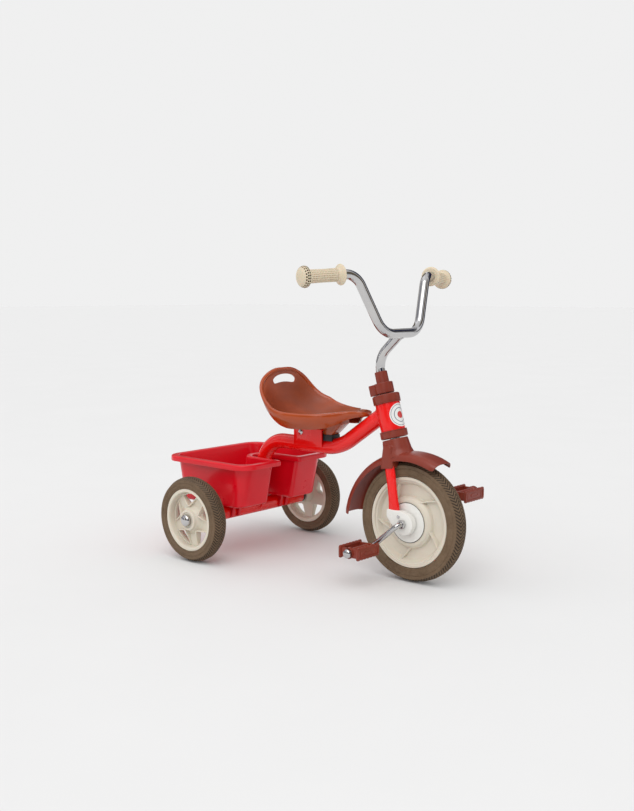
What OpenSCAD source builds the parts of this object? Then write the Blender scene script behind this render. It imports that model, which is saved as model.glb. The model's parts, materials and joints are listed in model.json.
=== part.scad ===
// Children's tricycle with a tipping rear bucket.
// +X is forward, +Y is the rider's left, +Z is up, and the ground is z = 0.
// The modules place pieces from the rear axle, and placed() moves the whole
// tricycle so that the origin is at the middle of its footprint.

/* [Wheels] */
// Distance between the rear axle and the front axle
wheelbase = 466; // [440:1:500]
// Radius of the front tyre
front_r = 127; // [120:1:132]
// Radius of the rear tyres
rear_r = 96; // [90:1:100]
// Distance between the middles of the rear tyres
track = 390; // [380:1:410]
// Width of the front tyre
front_tyre_w = 38; // [32:1:40]
// Width of each rear tyre
rear_tyre_w = 36; // [30:1:38]

/* [Frame] */
// Outer diameter of the main tube and of the axle tube
tube_d = 34; // [32:1:36]
// Height of the level part of the main tube
tube_z = 262; // [255:1:270]
// Lean of the steering axis, in degrees back from vertical
rake = 16; // [12:1:18]

/* [Handlebar] */
// Outer diameter of the handlebar tube
bar_d = 20; // [18:1:22]
// Height of the bottom of the handlebar
bar_z = 516; // [505:1:520]
// Height of the bends below the grips
bar_top_z = 635; // [625:1:645]

/* [Seat] */
// Thickness of the seat's moulded skin
seat_t = 4; // [3:0.5:6]

/* [Bucket] */
// Height of the bucket's rim
rim_z = 222; // [214:1:224]
// Half of the bucket's width at the rim
rim_half_w = 151; // [145:1:156]
// Thickness of the bucket's walls
bucket_t = 2.5; // [2:0.5:4]
// Radius of the rim's outer corners
rim_corner_r = 40; // [30:1:45]

/* [Pedals] */
// Distance from the wheel's axle to a pedal's axle
crank_throw = 76; // [70:1:82]
// Direction of the right crank, in degrees below straight back
crank_angle = 41.6; // [0:0.1:90]
// Diameter of the crank rod
crank_d = 11; // [10:0.5:12]

/* [Hidden] */
$fn = 64;

// The bucket's back edge and the front tyre are the ends of the footprint.
bucket_back = -147;
bucket_front = 120;
origin_x = (bucket_back + wheelbase + front_r) / 2;

tube_r = tube_d / 2;
tube_wall = 1.8;
bar_r = bar_d / 2;
bar_wall = 1.6;
run_gap = 0.05;
bend_lap = 0.5;
bend_swell = 0.05;
skin_gap = 0.1;

// Steering column, measured along the steering axis from the front axle.
head_r = 26;
head_low = 194;
head_high = 252;
head_wall = 2;
collar_r = 29;
steerer_r = 11;
crown_low = 146;
crown_high = 162;
clamp_low = 273;
clamp_high = 296;
sleeve_top = 320;

// Rear wheel.
rear_rim_r = 70.5;
rod_r = 5;
hub_in = 168;
hub_out = 213;
axle_tube_half = 158;
bush_flange = 6;
spokes = 5;
spoke_turn = 59;

// Front wheel and its cranks.
front_rim_r = 96.3;
hub_cap_r = 42;
hub_cap_out = 19.4;
leg_in = 24;
leg_out = 33;
cover_out = 36;
crank_r = crank_d / 2;
pedal_x = crank_throw * cos(crank_angle);
pedal_z = crank_throw * sin(crank_angle);
pedal_in = 72;
pedal_out = 143;
pedal_half_l = 26;
pedal_half_h = 13;

// Colours.
c_red = "red";
c_bucket = "crimson";
c_brown = "brown";
c_seat = "sienna";
c_cream = "antiquewhite";
c_tyre = "saddlebrown";
c_chrome = "silver";
c_white = "ivory";
c_black = [0.12, 0.12, 0.12];

// ---- Helpers ----

module placed() {
    translate([-origin_x, 0, 0])
        children();
}

// Local z runs up the steering axis, and local x forward, from the front axle.
module on_steering() {
    placed()
        translate([wheelbase, 0, front_r])
            rotate([0, -rake, 0])
                children();
}

module at_front_axle() {
    placed()
        translate([wheelbase, 0, front_r])
            children();
}

module at_rear_axle() {
    placed()
        translate([0, 0, rear_r])
            children();
}

// A piece drawn on the right, at negative y, goes to the given side.
module on_side(side) {
    if (side == "left")
        mirror([0, 1, 0])
            children();
    else
        children();
}

module both_sides() {
    on_side("right") children();
    on_side("left") children();
}

// Local z runs outwards, to the right, and local y runs up.
module outwards() {
    rotate([90, 0, 0])
        children();
}

module ring(r_out, r_in, h) {
    difference() {
        cylinder(r = r_out, h = h);
        translate([0, 0, -1])
            cylinder(r = r_in, h = h + 2);
    }
}

function unit(v) = v / norm(v);
function bend_angle(a, b, c) = acos(unit(b - a) * unit(c - b));

// How much of each straight a bend takes up, 0 at the two ends.
function tangent(p, radii, i) =
    i == 0 || i == len(p) - 1 ? 0 : radii[i] * tan(bend_angle(p[i - 1], p[i], p[i + 1]) / 2);

// Puts the local axes x and y along the given directions, at a point.
module frame_at(at, x, y) {
    z = cross(x, y);
    multmatrix([
        [x[0], y[0], z[0], at[0]],
        [x[1], y[1], z[1], at[1]],
        [x[2], y[2], z[2], at[2]]
    ])
        children();
}

// A round rod along a path: a straight in each span, and a bend at each inner point.
// The straights reach a little way into the bends, which are a hair thicker.
module bent_rod(p, radii, r) {
    for (i = [0 : len(p) - 2]) {
        u = unit(p[i + 1] - p[i]);
        side = unit(cross(u, abs(u[2]) > 0.9 ? [1, 0, 0] : [0, 0, 1]));
        start = p[i] + u * (tangent(p, radii, i) - (i > 0 ? bend_lap : 0));
        end = p[i + 1] - u * (tangent(p, radii, i + 1) - (i < len(p) - 2 ? bend_lap : 0));
        frame_at(start, side, cross(u, side))
            cylinder(r = r, h = norm(end - start));
    }
    for (i = [1 : len(p) - 2]) {
        u = unit(p[i] - p[i - 1]);
        w = unit(p[i + 1] - p[i]);
        inward = unit(w - (u * w) * u);
        start = p[i] - u * tangent(p, radii, i);
        frame_at(start + inward * radii[i], -inward, u)
            rotate_extrude(angle = bend_angle(p[i - 1], p[i], p[i + 1]))
                translate([radii[i], 0])
                    circle(r = r + bend_swell);
    }
}

module bent_tube(p, radii, r, wall) {
    difference() {
        bent_rod(p, radii, r);
        bent_rod(p, radii, r - wall);
    }
}

// ---- Frame ----

// From the axle tube it climbs steeply, runs level under the seat, then rises to the head.
main_path = [[0, 0, rear_r], [50, 0, tube_z], [267, 0, tube_z], [401, 0, tube_z + 93]];
main_radii = [0, 70, 120, 0];

module main_tube() {
    color(c_red)
        difference() {
            placed() bent_tube(main_path, main_radii, tube_r, tube_wall);
            at_rear_axle()
                rotate([90, 0, 0])
                    cylinder(r = tube_r + skin_gap, h = 80, center = true);
            on_steering()
                translate([0, 0, head_low - 60])
                    cylinder(r = head_r + skin_gap, h = 180);
        }
}

module axle_tube() {
    color(c_red)
        at_rear_axle()
            outwards()
                translate([0, 0, -axle_tube_half])
                    ring(tube_r, tube_r - tube_wall, 2 * axle_tube_half);
}

module head_tube() {
    color(c_red)
        on_steering()
            translate([0, 0, head_low])
                ring(head_r, head_r - head_wall, head_high - head_low);
}

// A plastic bush: a flange outside the head tube and a plug inside it.
module collar(flange_h) {
    plug_h = 12;
    difference() {
        union() {
            cylinder(r = collar_r, h = flange_h);
            translate([0, 0, flange_h])
                cylinder(r = head_r - head_wall - skin_gap, h = plug_h);
        }
        translate([0, 0, -1])
            cylinder(r = steerer_r + run_gap, h = flange_h + plug_h + 2);
    }
}

module upper_collar() {
    flange_h = 19;
    color(c_brown)
        on_steering()
            translate([0, 0, head_high + flange_h])
                mirror([0, 0, 1])
                    collar(flange_h);
}

module lower_collar() {
    flange_h = 16;
    color(c_brown)
        on_steering()
            translate([0, 0, head_low - flange_h])
                collar(flange_h);
}

// A plain round badge that follows the front of the head tube.
module head_badge() {
    badge_r = 25;
    badge_t = 0.5;
    color(c_white)
        on_steering()
            translate([0, 0, (head_low + head_high) / 2])
                intersection() {
                    translate([0, 0, -badge_r])
                        ring(head_r + badge_t, head_r + skin_gap, 2 * badge_r);
                    rotate([0, 90, 0])
                        cylinder(r = badge_r, h = 40);
                }
}

// Plugs that close the axle tube and carry the rod.
module axle_end_bushes() {
    plug_l = 14;
    color(c_black)
        at_rear_axle()
            both_sides()
                outwards()
                    translate([0, 0, axle_tube_half])
                        difference() {
                            union() {
                                translate([0, 0, -plug_l])
                                    cylinder(r = tube_r - tube_wall - skin_gap, h = plug_l);
                                cylinder(r = tube_r - 1, h = bush_flange);
                            }
                            translate([0, 0, -plug_l - 1])
                                cylinder(r = rod_r + skin_gap, h = plug_l + bush_flange + 2);
                        }
}

module rear_axle_rod() {
    rod_half = hub_out + 5;
    color(c_chrome)
        at_rear_axle()
            outwards()
                translate([0, 0, -rod_half])
                    cylinder(r = rod_r, h = 2 * rod_half);
}

module rear_axle_washers() {
    color(c_chrome)
        at_rear_axle()
            both_sides()
                outwards()
                    translate([0, 0, axle_tube_half + bush_flange + 0.5])
                        ring(11, rod_r + skin_gap, 2.5);
}

// A domed push cap that covers each end of the axle rod.
module rear_cap_nuts() {
    cap_r = 13.5;
    base_h = 4;
    dome_drop = 8;
    color(c_chrome)
        at_rear_axle()
            both_sides()
                outwards()
                    translate([0, 0, hub_out + 0.5])
                        difference() {
                            union() {
                                cylinder(r = cap_r, h = base_h);
                                translate([0, 0, base_h])
                                    intersection() {
                                        translate([0, 0, -dome_drop])
                                            sphere(r = norm([cap_r, dome_drop]));
                                        cylinder(r = cap_r, h = 12);
                                    }
                            }
                            translate([0, 0, -1])
                                cylinder(r = rod_r + skin_gap, h = 6);
                        }
}

// ---- Seat ----

bracket_back = 148;
bracket_front = 231;
bracket_top = 301;
plate_back = 122;

// A channel that stands on the main tube, with a plate under the seat.
module seat_bracket() {
    color(c_red)
        placed()
            difference() {
                union() {
                    translate([bracket_back, -20, tube_z])
                        cube([bracket_front - bracket_back, 40, bracket_top - tube_z]);
                    translate([plate_back, -22, bracket_top - 3])
                        cube([bracket_front - plate_back, 44, 3]);
                }
                translate([bracket_back - 1, -17, tube_z - 1])
                    cube([bracket_front - bracket_back + 2, 34, bracket_top - 3 - tube_z + 1]);
                translate([plate_back, 0, tube_z])
                    rotate([0, 90, 0])
                        cylinder(r = tube_r + skin_gap, h = 140);
                seat_bolt_hole(3.1);
                for (x = seat_screw_x)
                    translate([x, 0, bracket_top - 10])
                        cylinder(r = 2.6, h = 20);
            }
}

bolt_x = 169;
bolt_z = 291;
seat_screw_x = [188, 222];
screw_top = [321, 323];
lug_back = 232;
lug_l = 22;

module seat_bolt_hole(r) {
    translate([bolt_x, 30, bolt_z])
        rotate([90, 0, 0])
            cylinder(r = r, h = 60);
}

module seat_bracket_bolt() {
    color(c_chrome)
        placed()
            translate([bolt_x, 0, bolt_z])
                outwards() {
                    translate([0, 0, -23])
                        cylinder(r = 3, h = 46);
                    translate([0, 0, 20])
                        intersection() {
                            translate([0, 0, -5])
                                sphere(r = 9);
                            cylinder(r = 6.5, h = 6);
                        }
                    translate([0, 0, -25])
                        cylinder(r = 6, h = 5, $fn = 6);
                }
}

// Stations down the seat's middle, from the top of the back to the nose:
// x, z of the sitting surface, half width, how far the edges stand above the
// middle, and how far the skirt reaches below the edges.
seat_stations = [
    [102, 430, 24, 0, 9],
    [100.5, 423, 48, 1, 10],
    [100, 411, 69, 3, 11],
    [101, 395, 83, 7, 12],
    [104, 375, 92, 16, 14],
    [113, 352, 99, 27, 20],
    [130, 334, 106, 32, 27],
    [156, 324, 110, 28, 34],
    [188, 321, 109, 24, 37],
    [222, 323, 99, 20, 36],
    [254, 329, 87, 14, 34],
    [276, 334, 74, 11, 32],
    [291, 338, 55, 8, 28],
    [306, 342, 35, 6, 20],
    [322, 345, 27, 4, 15],
    [338, 347, 21, 2, 12],
    [347, 347, 13, 0, 10]
];
seat_steps = 7;

function seat_normal(i) =
    let (a = seat_stations[max(i - 1, 0)], b = seat_stations[min(i + 1, len(seat_stations) - 1)])
    unit([a[1] - b[1], 0, b[0] - a[0]]);

// A point of the surface: v runs from -1 at the right edge to 1 at the left edge.
function seat_point(i, v, depth) =
    let (s = seat_stations[i], n = seat_normal(i))
    [s[0], v * (s[2] - depth), s[1]] + n * (s[3] * pow(abs(v), 2.4) - depth);

// A point of the skirt: k is 0 at the edge and 1 at its foot.
function seat_skirt(i, side, k, inset) =
    let (s = seat_stations[i])
    seat_point(i, side, 0) - seat_normal(i) * s[4] * k - side * [0, inset + 0.24 * s[2] * k * k, 0];

// One face of a section, from the right skirt's foot over the top to the left one's.
function seat_face(i, inset) = concat(
    [for (k = [1, 0.75, 0.5]) seat_skirt(i, -1, k, inset)],
    [for (k = [-seat_steps : seat_steps]) seat_point(i, k / seat_steps, inset)],
    [for (k = [0.5, 0.75, 1]) seat_skirt(i, 1, k, inset)]
);

function reversed(list) = [for (k = [len(list) - 1 : -1 : 0]) list[k]];
function quad(a, b, c, d) = [[a, b, c], [a, c, d]];

module seat_skin() {
    rings = [for (i = [0 : len(seat_stations) - 1])
        concat(seat_face(i, 0), reversed(seat_face(i, seat_t)))];
    m = len(rings[0]);
    last = (len(rings) - 1) * m;
    polyhedron(
        points = [for (r = rings) each r],
        faces = concat(
            [for (i = [0 : len(rings) - 2]) for (j = [0 : m - 1])
                let (a = i * m + j, b = i * m + (j + 1) % m)
                each quad(a, b, b + m, a + m)],
            [for (j = [0 : m / 2 - 2]) each quad(m - 1 - j, m - 2 - j, j + 1, j)],
            [for (j = [0 : m / 2 - 2])
                each quad(last + j, last + j + 1, last + m - 2 - j, last + m - 1 - j)]
        )
    );
}

// The arched hand hole through the back.
module hand_hole() {
    arch_r = 92;
    translate([80, 0, 407 - arch_r])
        rotate([90, 0, 90])
            linear_extrude(45)
                intersection() {
                    difference() {
                        circle(r = arch_r + 9);
                        circle(r = arch_r - 8);
                    }
                    translate([-36, 0])
                        square([72, arch_r + 20]);
                }
}

// The moulded seat, with the lug that rests on the tube through a pad.
module seat() {
    color(c_seat)
        placed()
            difference() {
                union() {
                    seat_skin();
                    translate([174, -22, bracket_top + 0.2])
                        cube([56, 44, 18]);
                    translate([lug_back, -13, 290])
                        cube([lug_l, 26, 38]);
                }
                hand_hole();
                for (i = [0, 1])
                    translate([seat_screw_x[i], 0, 0]) {
                        translate([0, 0, bracket_top - 5])
                            cylinder(r = 2.6, h = 50);
                        translate([0, 0, screw_top[i]])
                            cylinder(r = 6.4, h = 20);
                    }
            }
}

module seat_pad() {
    color(c_black)
        placed()
            difference() {
                translate([lug_back - 1, -14, tube_z + 10])
                    cube([lug_l + 2, 28, 290 - skin_gap - tube_z - 10]);
                tube_bend_room(tube_r + skin_gap);
                translate([200, -20, tube_z - 20])
                    cube([80, 40, 34]);
            }
}

// The main tube's front bend, for parts that sit on it.
module tube_bend_room(r) {
    bend_r = main_radii[2];
    turn = atan2(main_path[3][2] - main_path[2][2], main_path[3][0] - main_path[2][0]);
    start = main_path[2][0] - bend_r * tan(turn / 2);
    translate([start - 60, 0, tube_z])
        rotate([0, 90, 0])
            cylinder(r = r, h = 60.01);
    translate([start, 0, tube_z + bend_r])
        rotate([90, 0, 0])
            rotate([0, 0, -90])
                rotate_extrude(angle = turn)
                    translate([bend_r, 0])
                        circle(r = r);
}

// Screws that hold the seat down on its bracket, with heads on the sitting surface.
module seat_screws() {
    nut_low = bracket_top - 7.5;
    color(c_chrome)
        placed()
            for (i = [0, 1])
                translate([seat_screw_x[i], 0, 0]) {
                    translate([0, 0, nut_low])
                        cylinder(r = 2.5, h = screw_top[i] - nut_low);
                    translate([0, 0, screw_top[i]])
                        cylinder(r1 = 6, r2 = 4, h = 2.5);
                    translate([0, 0, nut_low])
                        cylinder(r = 5, h = 4, $fn = 6);
                }
}

// ---- Rear wheels ----

rear_mid = track / 2;

// Rounded window between two spokes, drawn in the wheel's plane.
module spoke_window() {
    intersection() {
        difference() {
            circle(r = 57);
            circle(r = 30);
        }
        union() {
            polygon([[16, 0], [56, 23], [70, 0], [56, -23]]);
            translate([49, 12])
                circle(r = 9);
            translate([49, -12])
                circle(r = 9);
        }
    }
}

module rear_rim() {
    web_t = 7;
    translate([0, 0, rear_mid])
        difference() {
            union() {
                translate([0, 0, -16.5])
                    ring(rear_rim_r, 62, 33);
                translate([0, 0, -6])
                    cylinder(r = 63, h = web_t);
                translate([0, 0, hub_in - rear_mid])
                    cylinder(r = 19, h = rear_mid - hub_in);
                cylinder(r1 = 34, r2 = 23, h = 12);
                translate([0, 0, 12])
                    cylinder(r = 23, h = hub_out - rear_mid - 12);
                for (i = [0 : spokes - 1])
                    rotate([0, 0, spoke_turn + i * 360 / spokes])
                        translate([20, -3, 0])
                            cube([43, 6, 6]);
            }
            for (i = [0 : spokes - 1])
                rotate([0, 0, spoke_turn + (i + 0.5) * 360 / spokes])
                    translate([0, 0, -30])
                        linear_extrude(60)
                            spoke_window();
            translate([0, 0, -60])
                cylinder(r = rod_r + run_gap, h = 120);
            translate([0, 0, hub_in - rear_mid - 1])
                cylinder(r = 14, h = 12);
        }
}

module rear_tyre() {
    translate([0, 0, rear_mid])
        rotate_extrude()
            intersection() {
                translate([rear_r - 22, 0])
                    circle(r = 22);
                translate([rear_rim_r + skin_gap, -rear_tyre_w / 2])
                    square([40, rear_tyre_w]);
            }
}

module rear_rim_right() { color(c_cream) at_rear_axle() on_side("right") outwards() rear_rim(); }
module rear_rim_left() { color(c_cream) at_rear_axle() on_side("left") outwards() rear_rim(); }
module rear_tyre_right() { color(c_tyre) at_rear_axle() on_side("right") outwards() rear_tyre(); }
module rear_tyre_left() { color(c_tyre) at_rear_axle() on_side("left") outwards() rear_tyre(); }

// ---- Bucket ----

flange_w = 15;
flange_h = 12;
flange_t = 3;
bucket_floor_z = 118.5;
slot_half_w = 30;
slot_end = 8;
slot_wall_half_w = 38;
slot_wall_end = -5;
hook_y = [-90, -70, 70, 90];

module corner_circles(x0, x1, half_w, r) {
    for (x = [x0 + r, x1 - r])
        for (y = [r - half_w, half_w - r])
            translate([x, y])
                circle(r = r);
}

// Rectangle with round corners, from its limits.
module round_rect(x0, x1, half_w, r) {
    translate([x0 + r, -half_w])
        square([x1 - x0 - 2 * r, 2 * half_w]);
    translate([x0, r - half_w])
        square([x1 - x0, 2 * (half_w - r)]);
    corner_circles(x0, x1, half_w, r);
}

// The slot for the main tube: open to the front, round at the back.
module slot_shape(half_w, end) {
    translate([end + half_w, -half_w])
        square([200, 2 * half_w]);
    translate([end + half_w, 0])
        circle(r = half_w);
}

// The slot's two ends alone, for a hull to join.
module slot_ends(half_w, end) {
    translate([200, -half_w])
        square([20, 2 * half_w]);
    translate([end + half_w, 0])
        circle(r = half_w);
}

// The bucket's tapering body, drawn in by inset.
module bucket_body(inset, bottom) {
    hull() {
        translate([0, 0, rim_z])
            linear_extrude(0.01)
                corner_circles(bucket_back + flange_w + inset, bucket_front - flange_w - inset,
                    rim_half_w - flange_w - inset, rim_corner_r - 8 - inset, $fn = 32);
        translate([0, 0, bottom + 7])
            linear_extrude(0.01)
                corner_circles(-114 + inset, 84 - inset, 132 - inset, 26 - inset, $fn = 32);
        translate([0, 0, bottom])
            linear_extrude(0.01)
                corner_circles(-107 + inset, 77 - inset, 125 - inset, 20 - inset, $fn = 32);
    }
}

// The slot, whose end slants forwards as it rises, drawn out by outset.
module bucket_slot(outset) {
    hull() {
        translate([0, 0, rim_z + 1])
            linear_extrude(0.01)
                slot_ends(slot_wall_half_w + outset, slot_wall_end - outset, $fn = 32);
        translate([0, 0, bucket_floor_z - 1])
            linear_extrude(0.01)
                slot_ends(slot_wall_half_w + outset, slot_wall_end - 19 - outset, $fn = 32);
    }
}

// The flange's outline, drawn in by inset.
module rim_outline(inset) {
    difference() {
        round_rect(bucket_back + inset, bucket_front - inset, rim_half_w - inset, rim_corner_r - inset);
        slot_shape(slot_half_w + inset, slot_end - inset);
    }
}

// The bucket's mouth, inside the walls.
module mouth_outline() {
    inset = bucket_t + 1.6;
    difference() {
        round_rect(bucket_back + flange_w + inset, bucket_front - flange_w - inset,
            rim_half_w - flange_w - inset, rim_corner_r - 8 - inset);
        slot_shape(slot_wall_half_w + inset, slot_wall_end - inset);
    }
}

// A plate that hooks over the axle tube.
module hook_plate() {
    hook_t = 8;
    difference() {
        translate([-24, -hook_t / 2, rear_r - 12])
            cube([50, hook_t, bucket_floor_z + 1 - rear_r + 12]);
        translate([0, 0, rear_r])
            rotate([90, 0, 0])
                cylinder(r = tube_r + run_gap, h = 20, center = true);
    }
}

module bucket() {
    flange_low = rim_z - flange_t;
    color(c_bucket)
        placed() {
            difference() {
                bucket_body(0, bucket_floor_z);
                bucket_slot(0);
                difference() {
                    bucket_body(bucket_t, bucket_floor_z + bucket_t);
                    bucket_slot(bucket_t);
                }
                translate([-200, -200, rim_z - flange_t / 2])
                    cube([400, 400, 10]);
            }
            translate([0, 0, flange_low])
                linear_extrude(flange_t)
                    difference() {
                        rim_outline(0);
                        mouth_outline();
                    }
            translate([0, 0, rim_z - flange_h])
                linear_extrude(flange_h - flange_t / 2)
                    difference() {
                        rim_outline(0);
                        rim_outline(flange_t);
                    }
            for (y = hook_y)
                translate([0, y, 0])
                    hook_plate();
        }
}

// ---- Steering ----

module steerer() {
    color(c_chrome)
        on_steering()
            translate([0, 0, crown_high])
                ring(steerer_r, bar_r + skin_gap, clamp_high - crown_high);
}

// One blade of the fork, seen from the side.
module leg_outline() {
    polygon([
        [-58, 142], [-32, 142], [-24, 100], [-19, 60], [-13, 26],
        [-13, 17], [-40, 12], [-40, 22], [-42, 60], [-49, 100]
    ]);
}

module fork() {
    color(c_red) {
        at_front_axle()
            both_sides()
                outwards()
                    translate([0, 0, leg_in])
                        linear_extrude(leg_out - leg_in)
                            leg_outline();
        on_steering()
            difference() {
                union() {
                    translate([-14, -leg_out, crown_low])
                        cube([28, 2 * leg_out, 8]);
                    translate([0, 0, crown_low])
                        cylinder(r = 18, h = crown_high - crown_low);
                }
                translate([0, 0, crown_low - 1])
                    cylinder(r = bar_r + skin_gap, h = 30);
            }
    }
}

// The guard's arc has its own centre, below and ahead of the axle.
guard_x = 2.5;
guard_z = -21;
guard_r = 167;
guard_front = 64;
guard_back = 173;
guard_t = 2.5;
guard_half_w = 34;
neck_r = 27.5;
neck_top = 176;

// Crown and side lips of the guard, as radius and side.
module guard_section() {
    polygon([
        [guard_r - 16, guard_half_w], [guard_r - 3, 27], [guard_r, 20], [guard_r + 1.5, 0],
        [guard_r, -20], [guard_r - 3, -27], [guard_r - 16, -guard_half_w],
        [guard_r - 16, guard_t - guard_half_w], [guard_r - 4 - guard_t, guard_t - 27],
        [guard_r - guard_t, -19], [guard_r + 1.5 - guard_t, 0], [guard_r - guard_t, 19],
        [guard_r - 4 - guard_t, 27 - guard_t], [guard_r - 16, guard_half_w - guard_t]
    ]);
}

// Outline of the cover over a fork blade's top, seen from the side.
module sleeve_outline(grow) {
    polygon([
        [-60 - grow, 108 - grow], [-28 + grow, 117 - grow], [-32 + grow, 150],
        [-37 + grow, 156 + grow], [-50 - grow, 156 + grow], [-56 - grow, 146]
    ]);
}

module mudguard() {
    wall = 2.5;
    color(c_brown)
        difference() {
            union() {
                at_front_axle()
                    translate([guard_x, 0, guard_z])
                        rotate([90, 0, 0])
                            rotate([0, 0, guard_front])
                                rotate_extrude(angle = guard_back - guard_front, $fn = 128)
                                    guard_section();
                on_steering()
                    translate([0, 0, 138])
                        cylinder(r1 = neck_r + 5, r2 = neck_r, h = neck_top - 138);
                at_front_axle()
                    both_sides()
                        outwards()
                            translate([0, 0, 18])
                                linear_extrude(leg_out + wall + 0.2 - 18)
                                    sleeve_outline(0);
            }
            on_steering()
                translate([0, 0, 120])
                    cylinder(r = neck_r - wall, h = neck_top - wall - 120);
            on_steering()
                translate([0, 0, 120])
                    cylinder(r = steerer_r + 0.5, h = 80);
            on_steering()
                translate([-15, -leg_out - 0.2, 145])
                    cube([30, 2 * leg_out + 0.4, 12]);
            at_front_axle()
                both_sides()
                    outwards()
                        translate([0, 0, leg_in - 0.2])
                            linear_extrude(leg_out - leg_in + 0.4)
                                translate([-60, 80])
                                    polygon([[0, 20], [45, 20], [31, 64], [0, 64]]);
            at_front_axle()
                rotate([90, 0, 0])
                    cylinder(r = 138, h = 46, center = true, $fn = 128);
        }
}

stem_path = [
    [-sin(rake) * 200, 0, cos(rake) * 200],
    [-sin(rake) * 347, 0, cos(rake) * 347],
    [429 - wheelbase, 0, bar_z - front_r]
];

// The bar leans back from its bottom bend, and its ends sweep back to the grips.
bar_low = [430, -60, bar_z];
bar_high = [405, -118, bar_top_z];
bar_end = [372, -228, 628];

function mirrored(p) = [p[0], -p[1], p[2]];

bar_path = [bar_end, bar_high, bar_low, mirrored(bar_low), mirrored(bar_high), mirrored(bar_end)];
bar_radii = [0, 40, 50, 50, 40, 0];

module handlebar() {
    color(c_chrome)
        placed()
            bent_tube(bar_path, bar_radii, bar_r, bar_wall);
}

module stem() {
    color(c_chrome)
        difference() {
            at_front_axle()
                bent_tube(stem_path, [0, 50, 0], bar_r, bar_wall);
            placed()
                translate([bar_low[0], 0, bar_z])
                    rotate([90, 0, 0])
                        cylinder(r = bar_r + skin_gap, h = 60, center = true);
        }
}

// Collar that grips the stem: a round body, a lug at the back and a narrow sleeve.
module stem_clamp() {
    color(c_brown)
        on_steering()
            difference() {
                union() {
                    translate([0, 0, clamp_low])
                        cylinder(r = 20, h = clamp_high - clamp_low);
                    translate([-32, -12, clamp_low])
                        cube([32, 24, clamp_high - clamp_low]);
                    translate([0, 0, clamp_high])
                        cylinder(r = 13.5, h = sleeve_top - clamp_high);
                }
                translate([0, 0, clamp_low - 1])
                    cylinder(r = steerer_r + 0.1, h = clamp_high - clamp_low + 1.5);
                translate([0, 0, clamp_low])
                    cylinder(r = bar_r + skin_gap, h = 60);
                translate([-26, 0, (clamp_low + clamp_high) / 2])
                    rotate([90, 0, 0])
                        cylinder(r = 2.6, h = 40, center = true);
            }
}

module stem_clamp_bolt() {
    color(c_chrome)
        on_steering()
            translate([-26, 12.2, (clamp_low + clamp_high) / 2])
                rotate([90, 0, 0]) {
                    cylinder(r = 2.5, h = 23);
                    translate([0, 0, -4])
                        cylinder(r = 4.6, h = 4, $fn = 6);
                }
}

// The grip follows the bar's last straight, from its flange to its domed knob.
grip_dir = unit(bar_end - bar_high);

module grip() {
    flange_at = 32;
    grip_end = 132;
    let (side = unit(cross([0, 0, 1], grip_dir)))
    frame_at(bar_high, side, cross(grip_dir, side))
        difference() {
            rotate_extrude()
                union() {
                    translate([0, flange_at])
                        square([13.3, grip_end - flange_at - 6]);
                    translate([0, flange_at])
                        square([19, 6]);
                    translate([18, flange_at + 3])
                        circle(r = 3);
                    translate([0, grip_end - 14])
                        square([19, 6]);
                    intersection() {
                        translate([0, grip_end - 26])
                            circle(r = 25);
                        translate([0, grip_end - 10])
                            square([21.5, 20]);
                    }
                }
            cylinder(r = bar_r + skin_gap, h = norm(bar_end - bar_high) + 0.2);
        }
}

module grip_right() { color(c_cream) placed() on_side("right") grip(); }
module grip_left() { color(c_cream) placed() on_side("left") grip(); }

// White cover over the end of a fork blade, which carries the crank's bearing.
module dropout_cover() {
    outwards()
        difference() {
            translate([0, 0, 21])
                linear_extrude(cover_out - 21)
                    union() {
                        circle(r = 24);
                        polygon([[-20, -13], [0, -24], [23, 8], [-8, 26], [-42, 24], [-42, 8]]);
                        translate([-32, 16])
                            circle(r = 10);
                    }
            translate([0, 0, leg_in - 0.1])
                linear_extrude(20)
                    offset(delta = 0.1)
                        leg_outline();
            translate([0, 0, 10])
                cylinder(r = crank_r + run_gap, h = 40);
            dropout_screw_hole();
        }
}

module dropout_screw_hole() {
    translate([-11, 14, 26])
        cylinder(r = 2.1, h = 20);
}

module dropout_cover_right() { color(c_white) at_front_axle() on_side("right") dropout_cover(); }
module dropout_cover_left() { color(c_white) at_front_axle() on_side("left") dropout_cover(); }

module dropout_screws() {
    color(c_chrome)
        at_front_axle()
            both_sides()
                outwards()
                    translate([-11, 14, 0]) {
                        translate([0, 0, 27])
                            cylinder(r = 2, h = cover_out - 27);
                        translate([0, 0, cover_out])
                            cylinder(r1 = 4, r2 = 3, h = 1.8);
                    }
}

// ---- Front wheel ----

// A curved rib on the front wheel's web.
module rim_rib() {
    difference() {
        translate([62, -44])
            circle(r = 47);
        translate([62, -44])
            circle(r = 44);
        translate([-20, -110])
            square([200, 90]);
    }
}

module front_rim() {
    web = 4;
    color(c_cream)
        at_front_axle()
            difference() {
                union() {
                    outwards()
                        rotate_extrude()
                            polygon([
                                [0, -18], [hub_cap_r - 1, -18], [50, -16], [56, -11],
                                [57, -web], [80, -web],
                                [84, -12], [87, -16], [front_rim_r, -17], [front_rim_r, 17], [87, 16],
                                [84, 12], [80, web], [57, web],
                                [56, 11], [50, 16], [hub_cap_r - 1, 18], [0, 18]
                            ]);
                    both_sides()
                        outwards()
                            for (i = [0 : 4])
                                rotate([0, 0, i * 72 + 10])
                                    translate([0, 0, web - 1])
                                        linear_extrude(7)
                                            intersection() {
                                                rim_rib();
                                                difference() {
                                                    circle(r = 83);
                                                    circle(r = 54);
                                                }
                                            }
                }
                outwards()
                    translate([0, 0, -30])
                        cylinder(r = crank_r + skin_gap, h = 60);
            }
}

module front_tyre() {
    color(c_tyre)
        at_front_axle()
            outwards()
                rotate_extrude()
                    intersection() {
                        translate([front_r - 24, 0])
                            circle(r = 24);
                        translate([front_rim_r + skin_gap, -front_tyre_w / 2])
                            square([40, front_tyre_w]);
                    }
}

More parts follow.
